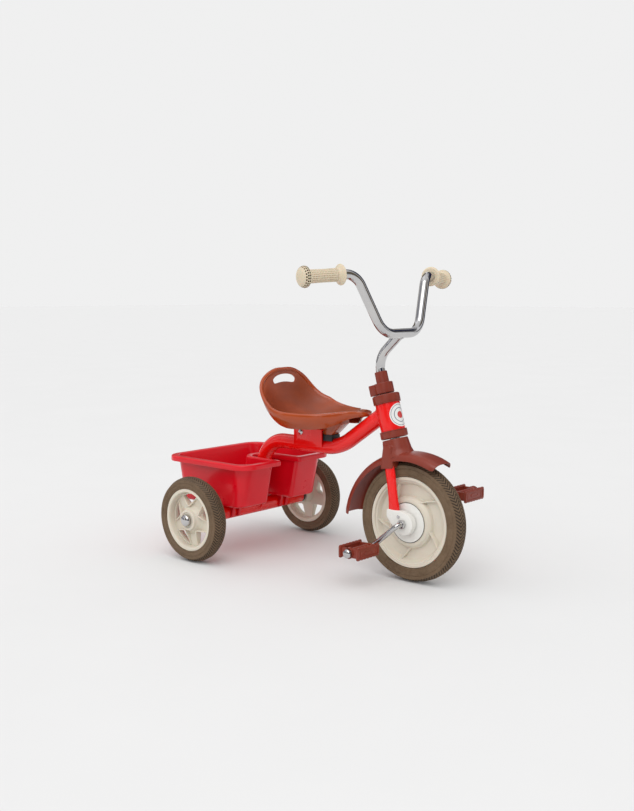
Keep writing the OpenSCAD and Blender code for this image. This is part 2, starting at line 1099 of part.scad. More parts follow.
// Disc that closes the side of the hub.
module hub_cap() {
    outwards()
        translate([0, 0, 18 + skin_gap])
            difference() {
                cylinder(r1 = hub_cap_r, r2 = hub_cap_r - 1.2, h = hub_cap_out - 18 - skin_gap);
                translate([0, 0, -1])
                    cylinder(r = crank_r + skin_gap, h = 10);
            }
}

module hub_cap_right() { color(c_white) at_front_axle() on_side("right") hub_cap(); }
module hub_cap_left() { color(c_white) at_front_axle() on_side("left") hub_cap(); }

arm_in = [0, -54, 0];
arm_out = [-pedal_x, -63, -pedal_z];
crank_tip = [-pedal_x, -pedal_out - 3, -pedal_z];

// A point of the left crank, which points the other way from the right one.
function opposite(p) = [-p[0], -p[1], -p[2]];

crank_path = [crank_tip, arm_out, arm_in, opposite(arm_in), opposite(arm_out), opposite(crank_tip)];

// The axle and both cranks are one bent rod.
module crank() {
    color(c_chrome)
        at_front_axle()
            bent_rod(crank_path, [0, 9, 9, 9, 9, 0], crank_r);
}

module crank_nuts() {
    color(c_chrome)
        at_front_axle()
            both_sides()
                outwards()
                    translate([0, 0, cover_out + 0.6])
                        difference() {
                            cylinder(r = 10, h = 6.5, $fn = 6);
                            translate([0, 0, -1])
                                cylinder(r = crank_r + skin_gap, h = 10);
                        }
}

// ---- Pedals ----

// Moves a piece drawn at the right crank's pedal to the given side.
module at_pedal(side) {
    at_front_axle()
        rotate([0, side == "left" ? 180 : 0, 0])
            on_side(side)
                translate([-pedal_x, 0, -pedal_z])
                    children();
}

module pedal() {
    plate_t = 6;
    bar_h = 9;
    difference() {
        union() {
            for (x = [-pedal_half_l, pedal_half_l - plate_t])
                translate([x, -pedal_out, -pedal_half_h])
                    cube([plate_t, pedal_out - pedal_in, 2 * pedal_half_h]);
            for (y = [-pedal_out + 3, -pedal_in - 9])
                translate([-pedal_half_l + 1, y, -bar_h])
                    cube([2 * pedal_half_l - 2, 6, 2 * bar_h]);
            outwards()
                translate([0, 0, pedal_in])
                    cylinder(r = 9, h = pedal_out - pedal_in);
        }
        outwards()
            translate([0, 0, pedal_in - 1])
                cylinder(r = crank_r + run_gap, h = pedal_out - pedal_in + 2);
    }
}

module pedal_right() { color(c_brown) at_pedal("right") pedal(); }
module pedal_left() { color(c_brown) at_pedal("left") pedal(); }

module pedal_cap_nuts() {
    color(c_chrome)
        for (side = ["right", "left"])
            at_pedal(side)
                outwards()
                    translate([0, 0, pedal_out + 0.5])
                        difference() {
                            union() {
                                cylinder(r = 9.5, h = 3);
                                translate([0, 0, 3])
                                    intersection() {
                                        translate([0, 0, -5])
                                            sphere(r = 10.7);
                                        cylinder(r = 9.5, h = 8);
                                    }
                            }
                            translate([0, 0, -1])
                                cylinder(r = crank_r + skin_gap, h = 3.7);
                        }
}

main_tube();
axle_tube();
head_tube();
upper_collar();
lower_collar();
head_badge();
seat_bracket();
seat();
seat_pad();
seat_screws();
seat_bracket_bolt();
axle_end_bushes();
rear_axle_rod();
rear_axle_washers();
rear_cap_nuts();
rear_rim_right();
rear_tyre_right();
rear_rim_left();
rear_tyre_left();
bucket();
steerer();
fork();
mudguard();
stem();
stem_clamp();
stem_clamp_bolt();
handlebar();
grip_right();
grip_left();
dropout_cover_right();
dropout_cover_left();
dropout_screws();
front_rim();
front_tyre();
hub_cap_right();
hub_cap_left();
crank();
crank_nuts();
pedal_cap_nuts();
pedal_right();
pedal_left();
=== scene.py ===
"""Children's tricycle with a tipping rear bucket: its looks, floor, light and camera."""

import json
import math
import random

import bmesh
import bpy
from mathutils import Matrix, Vector

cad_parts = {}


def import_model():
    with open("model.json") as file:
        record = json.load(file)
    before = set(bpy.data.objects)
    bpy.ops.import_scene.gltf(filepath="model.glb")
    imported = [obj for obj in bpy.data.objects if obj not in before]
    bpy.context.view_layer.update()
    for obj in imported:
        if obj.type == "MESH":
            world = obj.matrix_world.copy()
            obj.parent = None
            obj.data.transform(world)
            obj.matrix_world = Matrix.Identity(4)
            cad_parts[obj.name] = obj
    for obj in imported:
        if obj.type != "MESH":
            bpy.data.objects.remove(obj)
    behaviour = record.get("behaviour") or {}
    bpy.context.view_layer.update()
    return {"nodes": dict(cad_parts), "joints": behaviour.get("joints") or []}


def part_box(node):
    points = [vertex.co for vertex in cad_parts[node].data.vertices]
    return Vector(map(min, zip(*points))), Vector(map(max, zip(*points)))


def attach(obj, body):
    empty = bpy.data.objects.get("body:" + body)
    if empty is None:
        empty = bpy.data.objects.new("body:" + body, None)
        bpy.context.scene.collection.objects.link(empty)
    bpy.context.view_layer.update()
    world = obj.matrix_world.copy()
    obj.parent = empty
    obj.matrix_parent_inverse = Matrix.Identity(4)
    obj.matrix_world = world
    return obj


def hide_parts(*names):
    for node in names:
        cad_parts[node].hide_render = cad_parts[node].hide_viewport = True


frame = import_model()

MM = 0.001
X, Y, Z = Vector((1, 0, 0)), Vector((0, 1, 0)), Vector((0, 0, 1))
rng = random.Random(7)


# ---- Places, from the frame ----

def centre_of(node):
    low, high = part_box(node)
    return (low + high) / 2


REAR = centre_of("rear_tyre_right")
FRONT = centre_of("front_tyre")
STEER = next(j for j in frame["joints"] if j["name"] == "steer")
UP = Vector(STEER["axis"]).normalized()
FORE = Y.cross(UP).normalized()


def at(x, y, z):
    """A point in the row frame from millimetres ahead of the rear axle, to the left, and above the ground."""
    return Vector((REAR.x + x * MM, y * MM, z * MM))


def on_column(forward, left, up):
    """A point from millimetres along the steering column's own directions, from the front axle."""
    return FRONT + (FORE * forward + Y * left + UP * up) * MM


def frame_of(origin, x, y):
    """A matrix whose local x and y run along the given directions."""
    x, y = x.normalized(), y.normalized()
    z = x.cross(y)
    return Matrix((
        (x.x, y.x, z.x, origin.x), (x.y, y.y, z.y, origin.y), (x.z, y.z, z.z, origin.z), (0, 0, 0, 1)))


def outboard(origin):
    """Local z runs out to the right, and local y up."""
    return frame_of(origin, X, Z)


COLUMN = frame_of(FRONT, FORE, Y)


# ---- Materials ----

class Tree:
    """A short way to lay out a node tree."""

    def __init__(self, tree):
        self.tree = tree

    def add(self, kind, inputs=None, **values):
        """A node. Each of its inputs takes a value, or a link from another node's output."""
        node = self.tree.nodes.new(kind)
        for key, value in values.items():
            setattr(node, key, value)
        for key, value in (inputs or {}).items():
            if isinstance(value, bpy.types.NodeSocket):
                self.link(value, node.inputs[key])
            else:
                node.inputs[key].default_value = value
        return node

    def link(self, source, target):
        self.tree.links.new(source, target)

    def spread(self, source, low, high, start=0.3, end=0.7):
        """Maps a value between start and end onto a range."""
        limits = {"From Min": start, "From Max": end, "To Min": low, "To Max": high}
        return self.add("ShaderNodeMapRange", {"Value": source, **limits}).outputs["Result"]

    def mix(self, factor, first, second):
        """Mixes two colours, each a triple or a socket."""
        first, second = (c if isinstance(c, bpy.types.NodeSocket) else (*c, 1) for c in (first, second))
        return self.add("ShaderNodeMix", {"Factor": factor, 6: first, 7: second}, data_type="RGBA").outputs[2]

    def ramp(self, factor, stops, interpolation="LINEAR"):
        """A colour ramp from rising stops, each a place and a colour."""
        node = self.add("ShaderNodeValToRGB", {"Fac": factor})
        node.color_ramp.interpolation = interpolation
        elements = node.color_ramp.elements
        for i, (place, colour) in enumerate(stops):
            element = elements[i] if i < 2 else elements.new(place)
            element.position, element.color = place, (*colour, 1)
        return node.outputs["Color"]


class Nodes(Tree):
    """The node tree of a new material."""

    def __init__(self, name):
        self.material = bpy.data.materials.new(name)
        self.material.use_nodes = True
        super().__init__(self.material.node_tree)
        self.shader = self.tree.nodes["Principled BSDF"]
        self.place = self.add("ShaderNodeTexCoord").outputs["Object"]

    def noise(self, scale, detail=3.0, rough=0.55):
        values = {"Scale": scale, "Detail": detail, "Roughness": rough, "Vector": self.place}
        return self.add("ShaderNodeTexNoise", values).outputs["Fac"]

    def bump(self, height, strength, distance, below=None):
        node = self.add("ShaderNodeBump", {"Strength": strength, "Distance": distance, "Height": height})
        if below is not None:
            self.link(below, node.inputs["Normal"])
        return node.outputs["Normal"]

    def attribute(self, name):
        return self.add("ShaderNodeAttribute", attribute_name=name).outputs["Fac"]

    def set(self, **values):
        for key, value in values.items():
            self.shader.inputs[key.replace("_", " ")].default_value = value


def shade(colour, share):
    return tuple(c * share for c in colour)


def coated(name, colour, rough, vary=0.1, patch=9, grain=700, grain_strength=0.05, **values):
    """A moulded or painted surface: its colour drifts a little, and it has a fine grain and faint smears."""
    m = Nodes(name)
    tone = m.spread(m.noise(patch, 4), 0, 1)
    m.link(m.mix(tone, shade(colour, 1 - vary), shade(colour, 1 + vary)), m.shader.inputs["Base Color"])
    m.link(m.spread(m.noise(patch * 3, 3), rough * 0.9, rough * 1.12), m.shader.inputs["Roughness"])
    waves = m.bump(m.noise(35, 1), grain_strength * 0.5, 0.0004)
    m.link(m.bump(m.noise(grain, 2), grain_strength, 0.0002, waves), m.shader.inputs["Normal"])
    m.set(**values)
    return m.material


def chrome_material():
    m = Nodes("chrome_plate")
    tone = m.spread(m.noise(14, 3), 0, 1)
    m.link(m.mix(tone, (0.50, 0.50, 0.52), (0.62, 0.61, 0.60)), m.shader.inputs["Base Color"])
    m.link(m.spread(m.noise(45, 6), 0.045, 0.12), m.shader.inputs["Roughness"])
    m.link(m.bump(m.noise(30, 1), 0.02, 0.0002), m.shader.inputs["Normal"])
    m.set(Metallic=1.0)
    return m.material


def tyre_material():
    """Brown rubber: dusty on the tread, with painted shade that darkens the grooves, and finely ringed on the
    walls.
    """
    m = Nodes("tyre_rubber_brown")
    base = m.mix(m.spread(m.noise(26, 6, 0.65), 0, 1), (0.088, 0.052, 0.027), (0.165, 0.105, 0.060))
    dusty = m.mix(m.spread(m.noise(240, 3), 0, 0.35), base, (0.22, 0.15, 0.09))
    # Painted shade: the groove attribute darkens the rubber where the tread is sunk.
    m.link(m.mix(m.attribute("groove"), dusty, (0.030, 0.018, 0.010)), m.shader.inputs["Base Color"])
    m.link(m.spread(m.noise(80, 4), 0.56, 0.78), m.shader.inputs["Roughness"])
    coarse = m.bump(m.noise(420, 4, 0.7), 0.30, 0.0005)
    m.link(m.bump(m.noise(1900, 2), 0.25, 0.0002, coarse), m.shader.inputs["Normal"])
    m.set(Specular_IOR_Level=0.35)
    return m.material


def badge_material():
    """A plain roundel: a red disc and a blue-grey ring on white."""
    m = Nodes("badge_print")
    red, white, blue = (0.60, 0.02, 0.015), (0.80, 0.80, 0.78), (0.06, 0.09, 0.14)
    stops = [(0.0, red), (0.30, white), (0.56, blue), (0.62, white), (0.86, blue), (0.90, white)]
    print_colour = m.ramp(m.attribute("radius"), stops, "CONSTANT")
    worn = m.mix(m.spread(m.noise(90), 0, 0.12), print_colour, (0.5, 0.5, 0.5))
    m.link(worn, m.shader.inputs["Base Color"])
    m.link(m.spread(m.noise(60, 4), 0.2, 0.32), m.shader.inputs["Roughness"])
    m.set(Coat_Weight=0.5, Coat_Roughness=0.08)
    return m.material


RED = coated("frame_paint", (0.80, 0.004, 0.003), 0.26, vary=0.05, grain_strength=0.03,
             Specular_IOR_Level=0.25, Coat_Weight=0.8, Coat_Roughness=0.04, Coat_IOR=1.4)
BUCKET = coated("bucket_moulding", (0.68, 0.002, 0.012), 0.30, vary=0.06, grain_strength=0.03,
                Specular_IOR_Level=0.3, Coat_Weight=0.35, Coat_Roughness=0.10, Coat_IOR=1.4)
BROWN = coated("brown_moulding", (0.215, 0.030, 0.015), 0.34, vary=0.10, grain=900, grain_strength=0.08,
               Specular_IOR_Level=0.35, Coat_Weight=0.2, Coat_Roughness=0.2, Coat_IOR=1.4)
SEAT_GLOSS = coated("seat_rolled_edge", (0.36, 0.055, 0.008), 0.20, vary=0.12, grain_strength=0.03,
                    Specular_IOR_Level=0.3, Coat_Weight=0.8, Coat_Roughness=0.07, Coat_IOR=1.4)
SEAT_MATTE = coated("seat_dish", (0.29, 0.050, 0.012), 0.36, vary=0.20, patch=14, grain=1300,
                    grain_strength=0.18, Specular_IOR_Level=0.4, Coat_Weight=0.15, Coat_Roughness=0.25)
CREAM = coated("rim_moulding", (0.66, 0.60, 0.50), 0.36, vary=0.04, grain_strength=0.05,
               Specular_IOR_Level=0.4, Subsurface_Weight=0.08, Subsurface_Scale=0.003)
GRIP = coated("grip_moulding", (0.66, 0.56, 0.41), 0.46, vary=0.05, grain=1400, grain_strength=0.10,
              Subsurface_Weight=0.08, Subsurface_Scale=0.002)
# Painted shade for the grip: darker copies of its colour for the faces sunk into pits and slots.
GRIP_PIT_SHADE = coated("grip_pit_shade", (0.33, 0.245, 0.14), 0.6, vary=0.15)
GRIP_HOLLOW_SHADE = coated("grip_hollow_shade", (0.055, 0.035, 0.018), 0.6, vary=0.2)
WHITE = coated("white_moulding", (0.78, 0.77, 0.73), 0.28, vary=0.03, grain_strength=0.03,
               Specular_IOR_Level=0.4, Coat_Weight=0.3, Coat_Roughness=0.1)
BLACK = coated("black_rubber", (0.022, 0.022, 0.024), 0.55, vary=0.3, grain=900, grain_strength=0.3)
CHROME = chrome_material()
TYRE = tyre_material()
BADGE = badge_material()


# ---- Mesh helpers ----

def build(name, bm, *materials, sharp=38, weld=1e-6):
    """Turns a bmesh into an object with smooth faces, and edges that stay sharp above an angle."""
    if weld:
        bmesh.ops.remove_doubles(bm, verts=bm.verts, dist=weld)
    bmesh.ops.recalc_face_normals(bm, faces=bm.faces)
    mesh = bpy.data.meshes.new(name)
    bm.to_mesh(mesh)
    bm.free()
    for material in materials:
        mesh.materials.append(material)
    mesh.shade_smooth()
    mesh.set_sharp_from_angle(angle=math.radians(sharp))
    piece = bpy.data.objects.new(name, mesh)
    bpy.context.scene.collection.objects.link(piece)
    return piece


def applied(piece, kind, sharp=38, **values):
    """Adds a modifier and keeps its result in the mesh."""
    modifier = piece.modifiers.new(kind.lower(), kind)
    for key, value in values.items():
        setattr(modifier, key, value)
    bpy.context.view_layer.update()
    graph = bpy.context.evaluated_depsgraph_get()
    mesh = bpy.data.meshes.new_from_object(piece.evaluated_get(graph))
    piece.modifiers.clear()
    old, piece.data = piece.data, mesh
    bpy.data.meshes.remove(old)
    mesh.shade_smooth()
    mesh.set_sharp_from_angle(angle=math.radians(sharp))
    return piece


def bevelled(piece, width, segments=3, angle=32, sharp=38):
    return applied(piece, "BEVEL", sharp, width=width * MM, segments=segments, limit_method="ANGLE",
                   angle_limit=math.radians(angle), harden_normals=False)


def settle(piece, body, slot, *replaced):
    """The piece rides on its body and stands for its CAD nodes, which it hides. The slot is not used."""
    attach(piece, body)
    if replaced:
        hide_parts(*replaced)
    return piece


def rows_to(bm, rows, loop_rows=False, loop_points=False, caps=False):
    """Quads between rows of points. Returns the vertices, row by row."""
    grid = [[bm.verts.new(p) for p in row] for row in rows]
    count, size = len(grid), len(grid[0])
    for i in range(count if loop_rows else count - 1):
        for j in range(size if loop_points else size - 1):
            a, b = grid[i], grid[(i + 1) % count]
            bm.faces.new((a[j], a[(j + 1) % size], b[(j + 1) % size], b[j]))
    if caps:
        for row in (grid[0], grid[-1]):
            bm.faces.new(row)
    return grid


def skinned(name, rows, *materials, sharp=38, weld=1e-6, **joins):
    """An object with quads between rows of points."""
    bm = bmesh.new()
    rows_to(bm, rows, **joins)
    return build(name, bm, *materials, sharp=sharp, weld=weld)


def turns(count):
    """Even angles all the way round."""
    return [2 * math.pi * k / count for k in range(count)]


def circle(r, sides):
    return [(r * math.cos(a), r * math.sin(a)) for a in turns(sides)]


def quarter(steps):
    """Even angles over a quarter turn, with both ends."""
    return [math.pi / 2 * k / steps for k in range(steps + 1)]


def arc(cx, cy, r, start, end, steps):
    """Points of an arc, in degrees."""
    angles = [math.radians(start + (end - start) * i / steps) for i in range(steps + 1)]
    return [(cx + r * math.cos(a), cy + r * math.sin(a)) for a in angles]


def rounded(points, radius, steps=4, closed=True):
    """An outline with its corners rounded. radius is one number, or one for each corner."""
    count, out = len(points), []
    for i, point in enumerate(points):
        p = Vector(point)
        r = radius[i] if isinstance(radius, (list, tuple)) else radius
        if r <= 0 or (not closed and i in (0, count - 1)):
            out.append(tuple(p))
            continue
        before, after = Vector(points[i - 1]) - p, Vector(points[(i + 1) % count]) - p
        half = before.angle(after, math.pi) / 2
        if half > math.pi / 2 - 0.02:
            out.append(tuple(p))
            continue
        cut = min(r / math.tan(half), before.length * 0.48, after.length * 0.48)
        a, b = p + before.normalized() * cut, p + after.normalized() * cut
        for k in range(steps + 1):
            t = k / steps
            out.append(tuple(a * (1 - t) ** 2 + p * 2 * t * (1 - t) + b * t ** 2))
    return out


def bent(points, radii, step=4.0):
    """A path of straights joined by round bends, as points. Radii are in millimetres."""
    out = [points[0].copy()]
    for i in range(1, len(points) - 1):
        p = points[i]
        u, w = (p - points[i - 1]).normalized(), (points[i + 1] - p).normalized()
        turn = u.angle(w)
        reach = radii[i] * MM * math.tan(turn / 2)
        inward = (w - u * w.dot(u)).normalized()
        centre = p - u * reach + inward * radii[i] * MM
        steps = max(6, int(turn * radii[i] / step))
        for k in range(steps + 1):
            a = turn * k / steps
            out.append(centre + (u * math.sin(a) - inward * math.cos(a)) * radii[i] * MM)
    out.append(points[-1].copy())
    full = [out[0]]
    for a, b in zip(out, out[1:]):
        pieces = max(1, int((b - a).length / (step * 2.5 * MM)))
        full += [a.lerp(b, (k + 1) / pieces) for k in range(pieces)]
    return full


def heading(path, i, closed=False):
    """The direction of a path at its point i."""
    last = len(path) - 1
    after = path[(i + 1) % len(path)] if closed else path[min(i + 1, last)]
    before = path[i - 1] if closed else path[max(i - 1, 0)]
    return (after - before).normalized()


def sweep_rows(path, section, side, closed=False):
    """Carries a section along a path without twist: section(i) gives its points, in millimetres."""
    rows = []
    for i, point in enumerate(path):
        tangent = heading(path, i, closed)
        side = (side - tangent * side.dot(tangent)).normalized()
        other = tangent.cross(side)
        rows.append([point + (side * u + other * v) * MM for u, v in section(i)])
    return rows


def standing_rows(path, section, up, closed=False):
    """Carries a section that stands upright along a path: its points are (across, up)."""
    rows = []
    for i, point in enumerate(path):
        across = heading(path, i, closed).cross(up).normalized()
        rows.append([point + (across * u + up * v) * MM for u, v in section(i)])
    return rows


def circle_section(r, sides=36):
    ring = circle(r, sides)
    return lambda i: ring


def tube(name, path, r, wall, material, side=Y):
    """A round tube with real open ends."""
    outer = sweep_rows(path, circle_section(r), side)
    inner = sweep_rows(path, circle_section(r - wall), side)
    return skinned(name, outer + inner[::-1], material, loop_rows=True, loop_points=True)


def revolve(name, matrix, profile, material, steps=96, closed=True):
    """A body of revolution around a matrix's local z, from points (radius, height) in millimetres."""
    rows = []
    for a in turns(steps):
        rows.append([matrix @ (Vector((r * math.cos(a), r * math.sin(a), h)) * MM) for r, h in profile])
    return skinned(name, rows, material, loop_rows=True, loop_points=closed)


def prism(name, matrix, loops, low, high, material, bevel=1.0, segments=3):
    """A plate from an outline and its holes, between two heights along local z."""
    bm = bmesh.new()
    edges = []
    for loop in loops:
        ring = [bm.verts.new(matrix @ Vector((x * MM, y * MM, low * MM))) for x, y in loop]
        edges += [bm.edges.new((ring[i - 1], ring[i])) for i in range(len(ring))]
    bmesh.ops.triangle_fill(bm, use_beauty=True, edges=edges)
    lifted = bmesh.ops.extrude_face_region(bm, geom=bm.faces[:])
    shift = matrix.to_3x3() @ Vector((0, 0, (high - low) * MM))
    bmesh.ops.translate(bm, vec=shift, verts=[v for v in lifted["geom"] if isinstance(v, bmesh.types.BMVert)])
    bmesh.ops.dissolve_limit(bm, angle_limit=math.radians(0.5), verts=bm.verts, edges=bm.edges)
    piece = build(name, bm, material)
    if bevel:
        bevelled(piece, bevel, segments)
    return piece


def refined(node, name, material, width, segments=3, angle=32):
    """The CAD node's own shape, with its edges rounded."""
    bm = bmesh.new()
    bm.from_mesh(frame["nodes"][node].data)
    bmesh.ops.remove_doubles(bm, verts=bm.verts, dist=1e-6)
    bmesh.ops.dissolve_limit(bm, angle_limit=math.radians(1), verts=bm.verts, edges=bm.edges)
    piece = build(name, bm, material)
    return bevelled(piece, width, segments, angle)


def mirrored(piece, name):
    """A copy of the piece on the other side of the middle."""
    bm = bmesh.new()
    bm.from_mesh(piece.data)
    for v in bm.verts:
        v.co.y = -v.co.y
    return build(name, bm, *piece.data.materials, weld=0)


def flipped(piece):
    """The piece itself, moved to the other side of the middle."""
    other = mirrored(piece, piece.name + "_left")
    bpy.data.objects.remove(piece)
    return other


def joined(name, pieces):
    """One piece from several, which keep their materials."""
    bm = bmesh.new()
    materials = []
    for piece in pieces:
        start = len(bm.faces)
        bm.from_mesh(piece.data)
        bm.faces.ensure_lookup_table()
        used = list(piece.data.materials)
        for m in used:
            if m not in materials:
                materials.append(m)
        for face in bm.faces[start:]:
            face.material_index = materials.index(used[face.material_index])
        bpy.data.objects.remove(piece)
    return build(name, bm, *materials, weld=0)


def paint(piece, name, values):
    """Writes a number for each vertex as an attribute."""
    attribute = piece.data.attributes.new(name, "FLOAT", "POINT")
    attribute.data.foreach_set("value", values)


def bead(name, path, r, material, ripples=60):
    """A weld: a closed, slightly rippled bead along a path."""
    count = len(path)

    def section(i):
        return circle(r * (1 + 0.10 * math.sin(2 * math.pi * ripples * i / count) + 0.05 * rng.random()), 12)
    rows = sweep_rows(path, section, (path[1] - path[0]).orthogonal(), closed=True)
    return skinned(name, rows, material, sharp=80, loop_rows=True, loop_points=True)


def saddle(start, along, r, axis_point, axis, axis_r):
    """Where a tube of radius r, from a point along a direction, meets a cylinder around an axis."""
    a = along.cross(axis).normalized()
    b = along.cross(a)
    out = []
    for t in turns(240):
        p = start + (a * math.cos(t) + b * math.sin(t)) * r * MM
        q, d = p - axis_point, along - axis * along.dot(axis)
        q = q - axis * q.dot(axis)
        half, rest = q.dot(d) / d.dot(d), (q.dot(q) - (axis_r * MM) ** 2) / d.dot(d)
        out.append(p + along * (-half - math.sqrt(max(half * half - rest, 0))))
    return out


# ---- Tyres ----

def tyre(node, body, bead_r, pitch):
    """Herringbone bars, a pitch apart, across the crown, and fine rings on the side walls."""
    low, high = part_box(node)
    r, half_w = (high.z - low.z) / 2 / MM, (high.y - low.y) / 2 / MM
    crown = 22 if r < 110 else 24
    tread = half_w - 2.4
    wall = rounded([
        (bead_r, half_w - 1.6), (bead_r + 1.5, half_w - 0.4), (bead_r + 4, half_w - 1.3),
        (bead_r + 5, half_w - 0.3), (r - 15, half_w - 0.1), (r - 13.6, half_w - 1.3),
        (r - 12.4, half_w - 0.2), (r - crown + math.sqrt(crown ** 2 - tread ** 2) - 0.4, half_w - 0.5)],
        0.6, 2, closed=False)
    steps = 30  # across the tread
    across = [-tread + 2 * tread * i / steps for i in range(steps + 1)]
    top = [(r - crown + math.sqrt(crown ** 2 - y * y), y) for y in across]
    profile = [(a, -b, False) for a, b in wall] + [(a, b, True) for a, b in top]
    profile += [(a, b, False) for a, b in wall[::-1]]
    depths = (0.0, 0.0, 0.0, 0.85, 1.0, 0.85)  # a bar, then a groove
    count = round(2 * math.pi * r / pitch) * len(depths)
    rows, grooves = [], []
    matrix = outboard(centre_of(node))
    for i in range(count):
        row = []
        for a, b, treaded in profile:
            y = max(-tread, min(tread, b)) + tread
            fold = abs((y / tread) % 1 * 2 - 1)
            turn = 2 * math.pi * i / count + (fold - 0.5) * 1.25 * pitch / r
            depth = depths[i % len(depths)] if treaded else 0.0
            edge = min(1.0, (tread - abs(b)) / 1.2 + 0.25) if treaded else 0.0
            radius = a - 1.3 * depth * edge
            row.append(matrix @ (Vector((radius * math.cos(turn), radius * math.sin(turn), b)) * MM))
            grooves.append(depth * edge)
        rows.append(row)
    piece = skinned(node + "_tread", rows, TYRE, sharp=50, weld=0, loop_rows=True, loop_points=True)
    # The groove depths also set how strongly the painted shade darkens the tread there.
    paint(piece, "groove", grooves)
    return settle(piece, body, "tyre_rubber", node)


REAR_RIM_R = 70.5
FRONT_RIM_R = 96.3
tyre("front_tyre", "front_wheel", FRONT_RIM_R + 0.2, 7.4)
for side in ("right", "left"):
    tyre("rear_tyre_" + side, "rear_wheel_" + side, REAR_RIM_R + 0.2, 6.6)


# ---- Rear wheels ----

SPOKES, SPOKE_TURN = 5, 59


def turned(points, degrees):
    a = math.radians(degrees)
    return [(x * math.cos(a) - y * math.sin(a), x * math.sin(a) + y * math.cos(a)) for x, y in points]


def window(grow=0.0):
    """A rounded triangle between two spokes, around local +x."""
    outer, inner, spread = 57.5 + grow, 30.5 - grow, 24.5 + grow * 0.8
    far = arc(0, 0, outer, -spread, spread, 10)
    return rounded([(inner, 0)] + far, [5, 5] + [0] * (len(far) - 2) + [5], 5)


def resampled(line, step, closed=True):
    """The same line, with points about step apart."""
    points = [Vector(p) for p in line]
    out = []
    for a, b in zip(points, points[1:] + points[:1] * closed):
        parts = max(1, round((b - a).length / step))
        out += [tuple(a.lerp(b, k / parts)) for k in range(parts)]
    return out if closed else out + [line[-1]]


def window_ridge(name, matrix, degrees):
    """The raised edge around a window: tall by the hub, low by the rim."""
    outline = turned(resampled(window(1.2), 1.5), degrees)
    path = [matrix @ (Vector((x, y, 0)) * MM) for x, y in outline]

    def section(i):
        near_hub = max(0.0, min(1.0, (60 - math.hypot(*outline[i])) / 27))
        top = 2.2 + 8.5 * near_hub ** 1.2
        return rounded([(-1.5, -3), (-1.3, top), (1.3, top), (1.5, -3)], [0, 0.9, 0.9, 0], 3)
    rows = standing_rows(path, section, matrix.to_3x3() @ Z, closed=True)
    return skinned(name, rows, CREAM, sharp=60, loop_rows=True, loop_points=True)


def rear_rim():
    """Barrel with rolled lips, a star with raised edges, and a stepped hub."""
    matrix = outboard(REAR)
    barrel = rounded([
        (70.4, -16.4), (70.4, 16.4), (63.2, 16.4), (61.6, 12), (61.2, 1), (58.5, -2),
        (58.5, -5), (61.2, -7), (62.0, -16.4)], [1.4, 1.4, 2.4, 3, 2, 0.8, 0.8, 2, 2.0], 4)
    hub = rounded([
        (19, -27), (19, -5.5), (34, -5.5), (34.5, 0.5), (30, 4.0), (24.5, 11.5), (23.2, 17.6), (18.0, 17.9),
        (17.0, 16.0), (5.1, 16.0), (5.1, -15), (14, -15), (14, -27)],
        [1, 1.5, 1, 2, 4, 4, 1.6, 1.0, 0.6, 0.2, 0.2, 1, 1], 4)
    directions = [SPOKE_TURN + (k + 0.5) * 360 / SPOKES for k in range(SPOKES)]
    holes = [turned(window(), degrees) for degrees in directions]
    parts = [
        revolve("barrel", matrix, barrel, CREAM, 144), revolve("hub", matrix, hub, CREAM, 96),
        prism("star", matrix, [circle(61.8, 180), *holes, circle(22, 36)], -6, 1, CREAM, 0.7)]
    parts += [window_ridge(f"ridge{k}", matrix, degrees) for k, degrees in enumerate(directions)]
    return joined("rear_rim_right_star", parts)


right_rim = rear_rim()
left_rim = mirrored(right_rim, "rear_rim_left_star")
settle(right_rim, "rear_wheel_right", "rim_plastic", "rear_rim_right")
settle(left_rim, "rear_wheel_left", "rim_plastic", "rear_rim_left")


def dome(r, base, rise, bore, depth):
    """Profile of a domed cap with a blind hole at its back."""
    curve = [(r * math.cos(a), base + rise * math.sin(a)) for a in quarter(10)]
    return [(bore, 0), (r - 0.8, 0), (r, 0.8)] + curve + [(0.001, depth), (bore, depth)]


def mirror_pair(piece, name, body, slot, node):
    """The right piece and its mirror image, as one piece for a node that holds both."""
    return settle(joined(name, [piece, mirrored(piece, "other")]), body, slot, node)


cap_matrix = outboard(Vector((REAR.x, -213.5 * MM, REAR.z)))
mirror_pair(revolve("cap", cap_matrix, dome(13.5, 4, 7.6, 5.1, 4.9), CHROME, 64),
            "rear_cap_nuts_domed", "frame", "chrome", "rear_cap_nuts")


# ---- Front wheel ----

def rib(name, matrix, degrees, low, high):
    """A curved rib from the hub's ring out to the rim's step."""
    steps = 40
    polar = [(49 + 37 * k / steps, math.radians(-27 * (k / steps) ** 0.6)) for k in range(steps + 1)]
    line = turned([(r * math.cos(a), r * math.sin(a)) for r, a in polar], degrees)
    path = [matrix @ (Vector((x, y, 0)) * MM) for x, y in line]

    def section(i):
        top = high - 3.4 * i / len(path)
        return rounded([(-2.4, low), (-1.3, top), (1.3, top), (2.4, low)], [0, 0.9, 0.9, 0], 3)
    rows = standing_rows(path, section, matrix.to_3x3() @ Z)
    return skinned(name, rows, CREAM, sharp=60, loop_points=True, caps=True)


def front_rim():
    half = [
        (5.6, 18), (40, 18), (42.2, 18), (42.5, 16.6), (43.3, 16.6), (43.6, 17.6), (49, 16.4), (54.5, 11.6),
        (56.5, 4), (79, 3.6), (82.5, 9), (84.5, 12.2), (87.5, 13.2), (89, 16.4), (95.6, 16.9)]
    radii = [0.3, 0, 0.4, 0.2, 0.2, 0.4, 2.5, 2.5, 2.0, 3.0, 2.0, 1.2, 1.2, 1.2, 1.0]
    profile = rounded(half + [(r, -h) for r, h in half[::-1]], radii + radii[::-1], 4)
    profile = [(min(r, FRONT_RIM_R), h) for r, h in profile]
    right = outboard(FRONT)
    web = revolve("web", right, profile, CREAM, 168)
    ribs = [rib(f"rib{k}", right, 65 + 72 * k, 3, 14.2) for k in range(5)]
    other = [mirrored(r, r.name + "left") for r in ribs]
    return joined("front_rim_web", [web] + ribs + other)


settle(front_rim(), "front_wheel", "rim_plastic", "front_rim")


